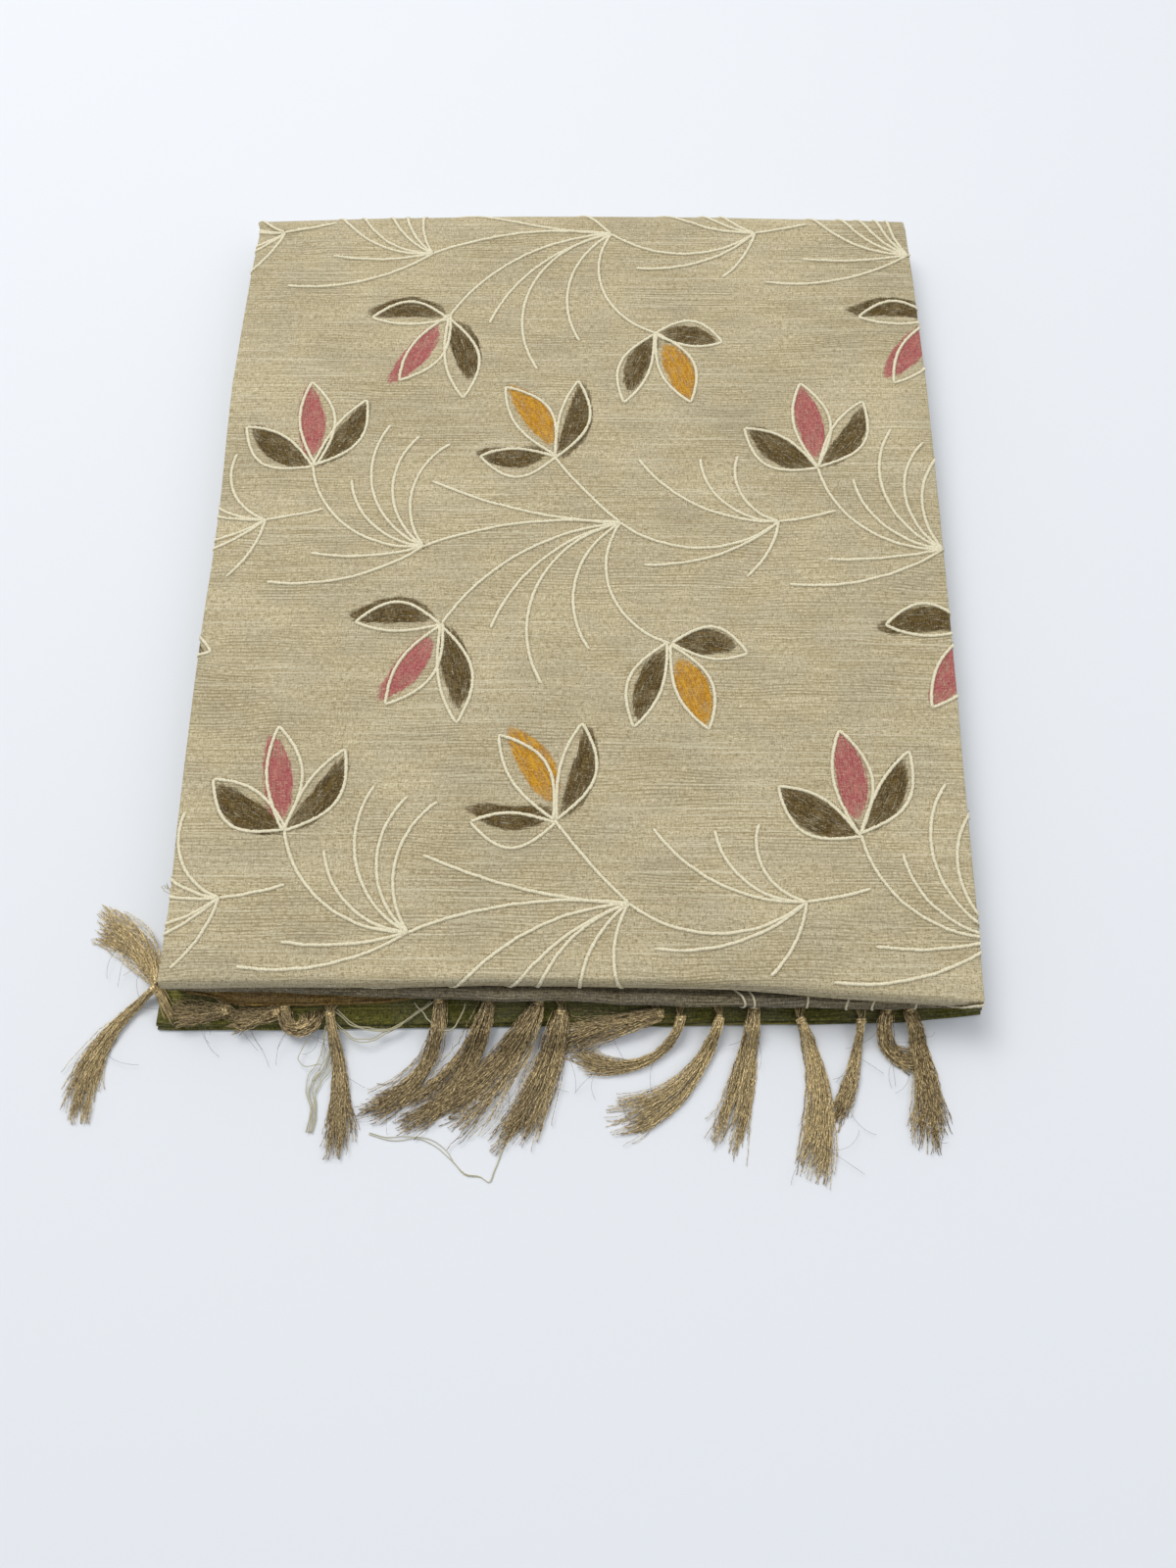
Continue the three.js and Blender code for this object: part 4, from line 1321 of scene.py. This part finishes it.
# Loose threads at the front, as places that each passes, its height at them, how many strands lie side by
# side and how thick they are.
LOOSE_THREADS = [
    {"height": 5.2, "strands": 2, "radius": 0.24,
     "places": [(-84, -176), (-77, -181), (-70.5, -182.5), (-64, -182), (-58, -178.5), (-53, -175),
                (-47, -171)]},
    {"height": 4.4, "strands": 2, "radius": 0.2,
     "places": [(-85, -179), (-81, -183), (-76.5, -186), (-72, -186), (-66, -183.5), (-60, -180),
                (-50, -172)]},
    {"height": 6.0, "strands": 1, "radius": 0.28,
     "places": [(-56, -173), (-52.5, -176), (-49.5, -180), (-46, -182.5), (-42, -182), (-39, -178.5),
                (-37.5, -173)]},
    {"height": 0.5, "strands": 2, "radius": 0.14,
     "places": [(-70, -218), (-62, -219.7), (-53, -219.3), (-48, -220.5), (-42.5, -224), (-39, -228),
                (-35.5, -231), (-30.3, -232), (-27, -234), (-25.3, -230), (-23.5, -224), (-20, -216)]},
    {"height": 1.0, "strands": 7, "radius": 0.16,
     "places": [(-86, -181), (-86, -190), (-88, -196), (-90.6, -199.5), (-92, -203.5), (-90.6, -210),
                (-91, -218)]},
    {"height": 3.0, "strands": 1, "radius": 0.16,
     "places": [(-88.5, -178), (-92.7, -184), (-96, -189.5), (-97, -193), (-94, -195), (-88, -194.5)]},
    {"height": 13.0, "strands": 4, "radius": 0.14,
     "places": [(-144, -137), (-146, -135), (-147.6, -133.5), (-148.6, -131.5)]},
]


def through(places, count):
    """A smooth route through places in plan, at even shares of its length."""
    places = np.array(places, float)
    at = so_far(np.linalg.norm(np.diff(places, axis=0), axis=1))
    slope = np.gradient(places, at, axis=0)
    where = np.linspace(0, at[-1], count)
    part = np.clip(np.searchsorted(at, where, side="right") - 1, 0, len(at) - 2)
    gap = (at[part + 1] - at[part])[:, None]
    t = ((where - at[part])[:, None]) / gap
    start, stop = places[part], places[part + 1]
    return (start * (1 + 2 * t) * (1 - t) ** 2 + stop * t * t * (3 - 2 * t)
            + gap * slope[part] * t * (1 - t) ** 2 - gap * slope[part + 1] * t * t * (1 - t))


def loose_threads(material):
    parts = []
    steps = 48
    share = np.linspace(0, 1, steps)
    for number, row in enumerate(LOOSE_THREADS):
        line = through(row["places"], steps)
        ahead = unit(np.gradient(line, axis=0))
        side = np.stack([-ahead[:, 1], ahead[:, 0]], -1)
        for strand in range(row["strands"]):
            off = 0.55 * (strand - (row["strands"] - 1) / 2) * (1 + 0.8 * np.sin(5 * share + strand))
            off = off + 0.35 * smooth_noise(share * 20 + 7 * strand, 1.7, 70 + number)
            plan = line + off[:, None] * side
            lie = support(plan[:, 0], plan[:, 1]) if row["height"] < 10 else 0
            z = row["height"] + 0.3 * smooth_noise(share * 9, 2.0, 90 + strand)
            z = np.maximum(z, lie + row["radius"])
            parts.append(tubes(np.concatenate([plan, z[:, None]], -1)[None], row["radius"], sides=5))
    points, faces = joined(parts)
    tone = np.full(len(points), 0.7)
    build("loose_threads", points, faces, material, values={"tone": tone})


# Stitches of the layer below, where they cross the second fold: their place across, and their slant.
CROSSINGS = table(
    "x slant",
    (63, -0.9),
    (66, -0.5),
    (84, 0.1),
    (97, 0.7),
    (106, 0.8),
    (122, 0.2),
)


def crossings(material):
    """Cream stitches that run over the second fold."""
    steps = 70
    path = fold_path(depth=12, **SECOND_FOLD)
    count = len(path[0])
    places = np.linspace(0, count - 1, steps)
    y, z, ny, nz = (np.interp(places, np.arange(count), values) for values in path)
    paths = []
    for row in CROSSINGS:
        x = row["x"] + row["slant"] * (y - y.min()) * 0.8 + row["slant"] * (z.max() - z) * 0.4
        edge = fold_front(x, "lower", 0.0, 51)
        bulge = np.clip(-ny, 0, 1) * fold_sag(x, 51)
        paths.append(np.stack([x, y + edge + 0.3 * ny, z + 0.3 * nz + bulge], -1))
    pinched = 0.41 * np.where(np.arange(steps) % 2 == 0, 1.12, 0.88)
    points, faces = tubes(np.array(paths), pinched, sides=6)
    uv = np.tile(np.arange(6) * 0.4, len(points) // 6)
    uv = np.stack([uv, np.tile(np.repeat(np.arange(steps) * 0.5 * STITCH_PITCH, 6), len(CROSSINGS))], -1)
    build("crossing_stitches", points, faces, material, uv=uv,
          values={"tone": np.full(len(points), 0.6)})


# ---- Stage ----

CAMERA = {"place": (10.4, -238.8, 431.8), "pitch": 70.61, "yaw": -1.72, "roll": -1.25}
FOCAL_PIXELS = 1202
IMAGE_HEIGHT = 1600


def camera():
    """The camera looks along +Y, pitched down, turned towards +X by its yaw, and rolled about its view."""
    data = bpy.data.cameras.new("camera")
    data.sensor_width = 36
    data.lens = FOCAL_PIXELS / IMAGE_HEIGHT * data.sensor_width
    data.clip_start = 0.01
    pitch, yaw, roll = (math.radians(CAMERA[key]) for key in ("pitch", "yaw", "roll"))
    ahead = Vector((math.sin(yaw) * math.cos(pitch), math.cos(yaw) * math.cos(pitch), -math.sin(pitch)))
    right = Vector((math.cos(yaw), -math.sin(yaw), 0))
    up = right.cross(ahead)
    rolled_right = math.cos(roll) * right + math.sin(roll) * up
    rolled_up = -math.sin(roll) * right + math.cos(roll) * up
    turn = Matrix((rolled_right, rolled_up, -ahead)).transposed()
    viewer = put_in_scene("camera", data)
    viewer.matrix_world = Matrix.Translation(Vector(CAMERA["place"]) * MM) @ turn.to_4x4()
    bpy.context.scene.camera = viewer


def floor():
    size = 12.0
    mesh = bpy.data.meshes.new("floor")
    corners = [(-size, -size, 0), (size, -size, 0), (size, size, 0), (-size, size, 0)]
    mesh.from_pydata(corners, [], [(0, 1, 2, 3)])
    finish = Finish("floor", roughness=0.9, specular=0.2)
    finish.finish(colour(229, 232, 237))
    mesh.materials.append(finish.material)
    put_in_scene("floor", mesh)


def light(name, place, target, size, power, tint=(1, 1, 1)):
    data = bpy.data.lights.new(name, "AREA")
    data.energy = power
    data.size = size
    data.color = tint
    lamp = put_in_scene(name, data)
    lamp.location = place
    lamp.rotation_euler = (Vector(target) - Vector(place)).to_track_quat("-Z", "Y").to_euler()


WORLD_TINT = (0.93, 0.96, 1.0, 1.0)


def lights():
    """Soft light from above and behind, and a sky that is dimmer towards the front."""
    world = bpy.data.worlds.new("studio")
    world.use_nodes = True
    tree = world.node_tree
    background = tree.nodes["Background"]
    background.inputs["Color"].default_value = WORLD_TINT
    direction = tree.nodes.new("ShaderNodeTexCoord").outputs["Generated"]
    split = tree.nodes.new("ShaderNodeSeparateXYZ")
    tree.links.new(direction, split.inputs[0])
    fade = tree.nodes.new("ShaderNodeMapRange")
    tree.links.new(split.outputs["Y"], fade.inputs["Value"])
    for key, value in {"From Min": -1.0, "From Max": 0.3, "To Min": 0.22, "To Max": 0.66}.items():
        fade.inputs[key].default_value = value
    tree.links.new(fade.outputs[0], background.inputs["Strength"])
    bpy.context.scene.world = world
    light("key", (-0.6, 0.7, 1.7), (0, 0, 0), 1.0, 22.0, (1.0, 0.99, 0.96))
    light("fill", (0.9, -0.3, 1.3), (0, 0, 0), 1.2, 4.0)
    bpy.context.scene.view_settings.view_transform = "Standard"


# ---- All of it ----

camera()
floor()
lights()

sari = sari_finish()
edge_beige = plain_finish("edge_weave", colour(184, 172, 139), colour(222, 212, 182), colour(118, 106, 78))
# The folds inside the front wear the sari's beige, darkened well below the outer cloth's: painted shade for
# the recess under the upper pack.
shaded_inner_beige = plain_finish("inner_weave_shaded", colour(131, 120, 94), colour(200, 189, 158), colour(62, 54, 38))
golden = plain_finish("pallu_weave", colour(150, 120, 62), colour(222, 192, 122), colour(84, 62, 28),
                      roughness=0.5, metallic=0.3)
green = plain_finish("blouse_weave", colour(98, 96, 33), colour(162, 152, 84), colour(42, 42, 12))
cream = stitched_finish()
# Needle marks: dark colour for the pulled weave and for painted shade beside each stitch.
needle_shadow = thread_finish("needle_mark_shadows", colour(98, 84, 52), colour(138, 122, 86), roughness=0.9)
# The tassel yarn's glint is painted highlight in its colour.
yarn = thread_finish("tassel_yarn", colour(90, 64, 28), colour(255, 230, 172), roughness=0.32, metallic=0.35,
                     painted_glints=0.6)
hair = thread_finish("hairs", colour(70, 62, 58), colour(120, 108, 100), roughness=0.5)
pale = thread_finish("loose_thread", colour(120, 116, 84), colour(206, 198, 164), roughness=0.6)

blouse_cloth(green)
pallu_run(golden)
hem(golden)
layer_edges(edge_beige)
# The second and third folds take the darkened beige, which is painted shade.
inner_fold("second_fold", SECOND_FOLD, "lower", 0.0, shaded_inner_beige, ["lower_fold"], seed=51)
inner_fold("third_fold", THIRD_FOLD, "lower", 2.2, shaded_inner_beige, [], seed=54, columns=60)
crossings(cream)
outer_cloth(sari)
for name, lines in embroidery_lines().items():
    stitch(name, lines, cream, needle_shadow)
for number, row in enumerate(TASSELS, 1):
    tassel(number, row, yarn)
flyaways(hair)
loose_threads(pale)
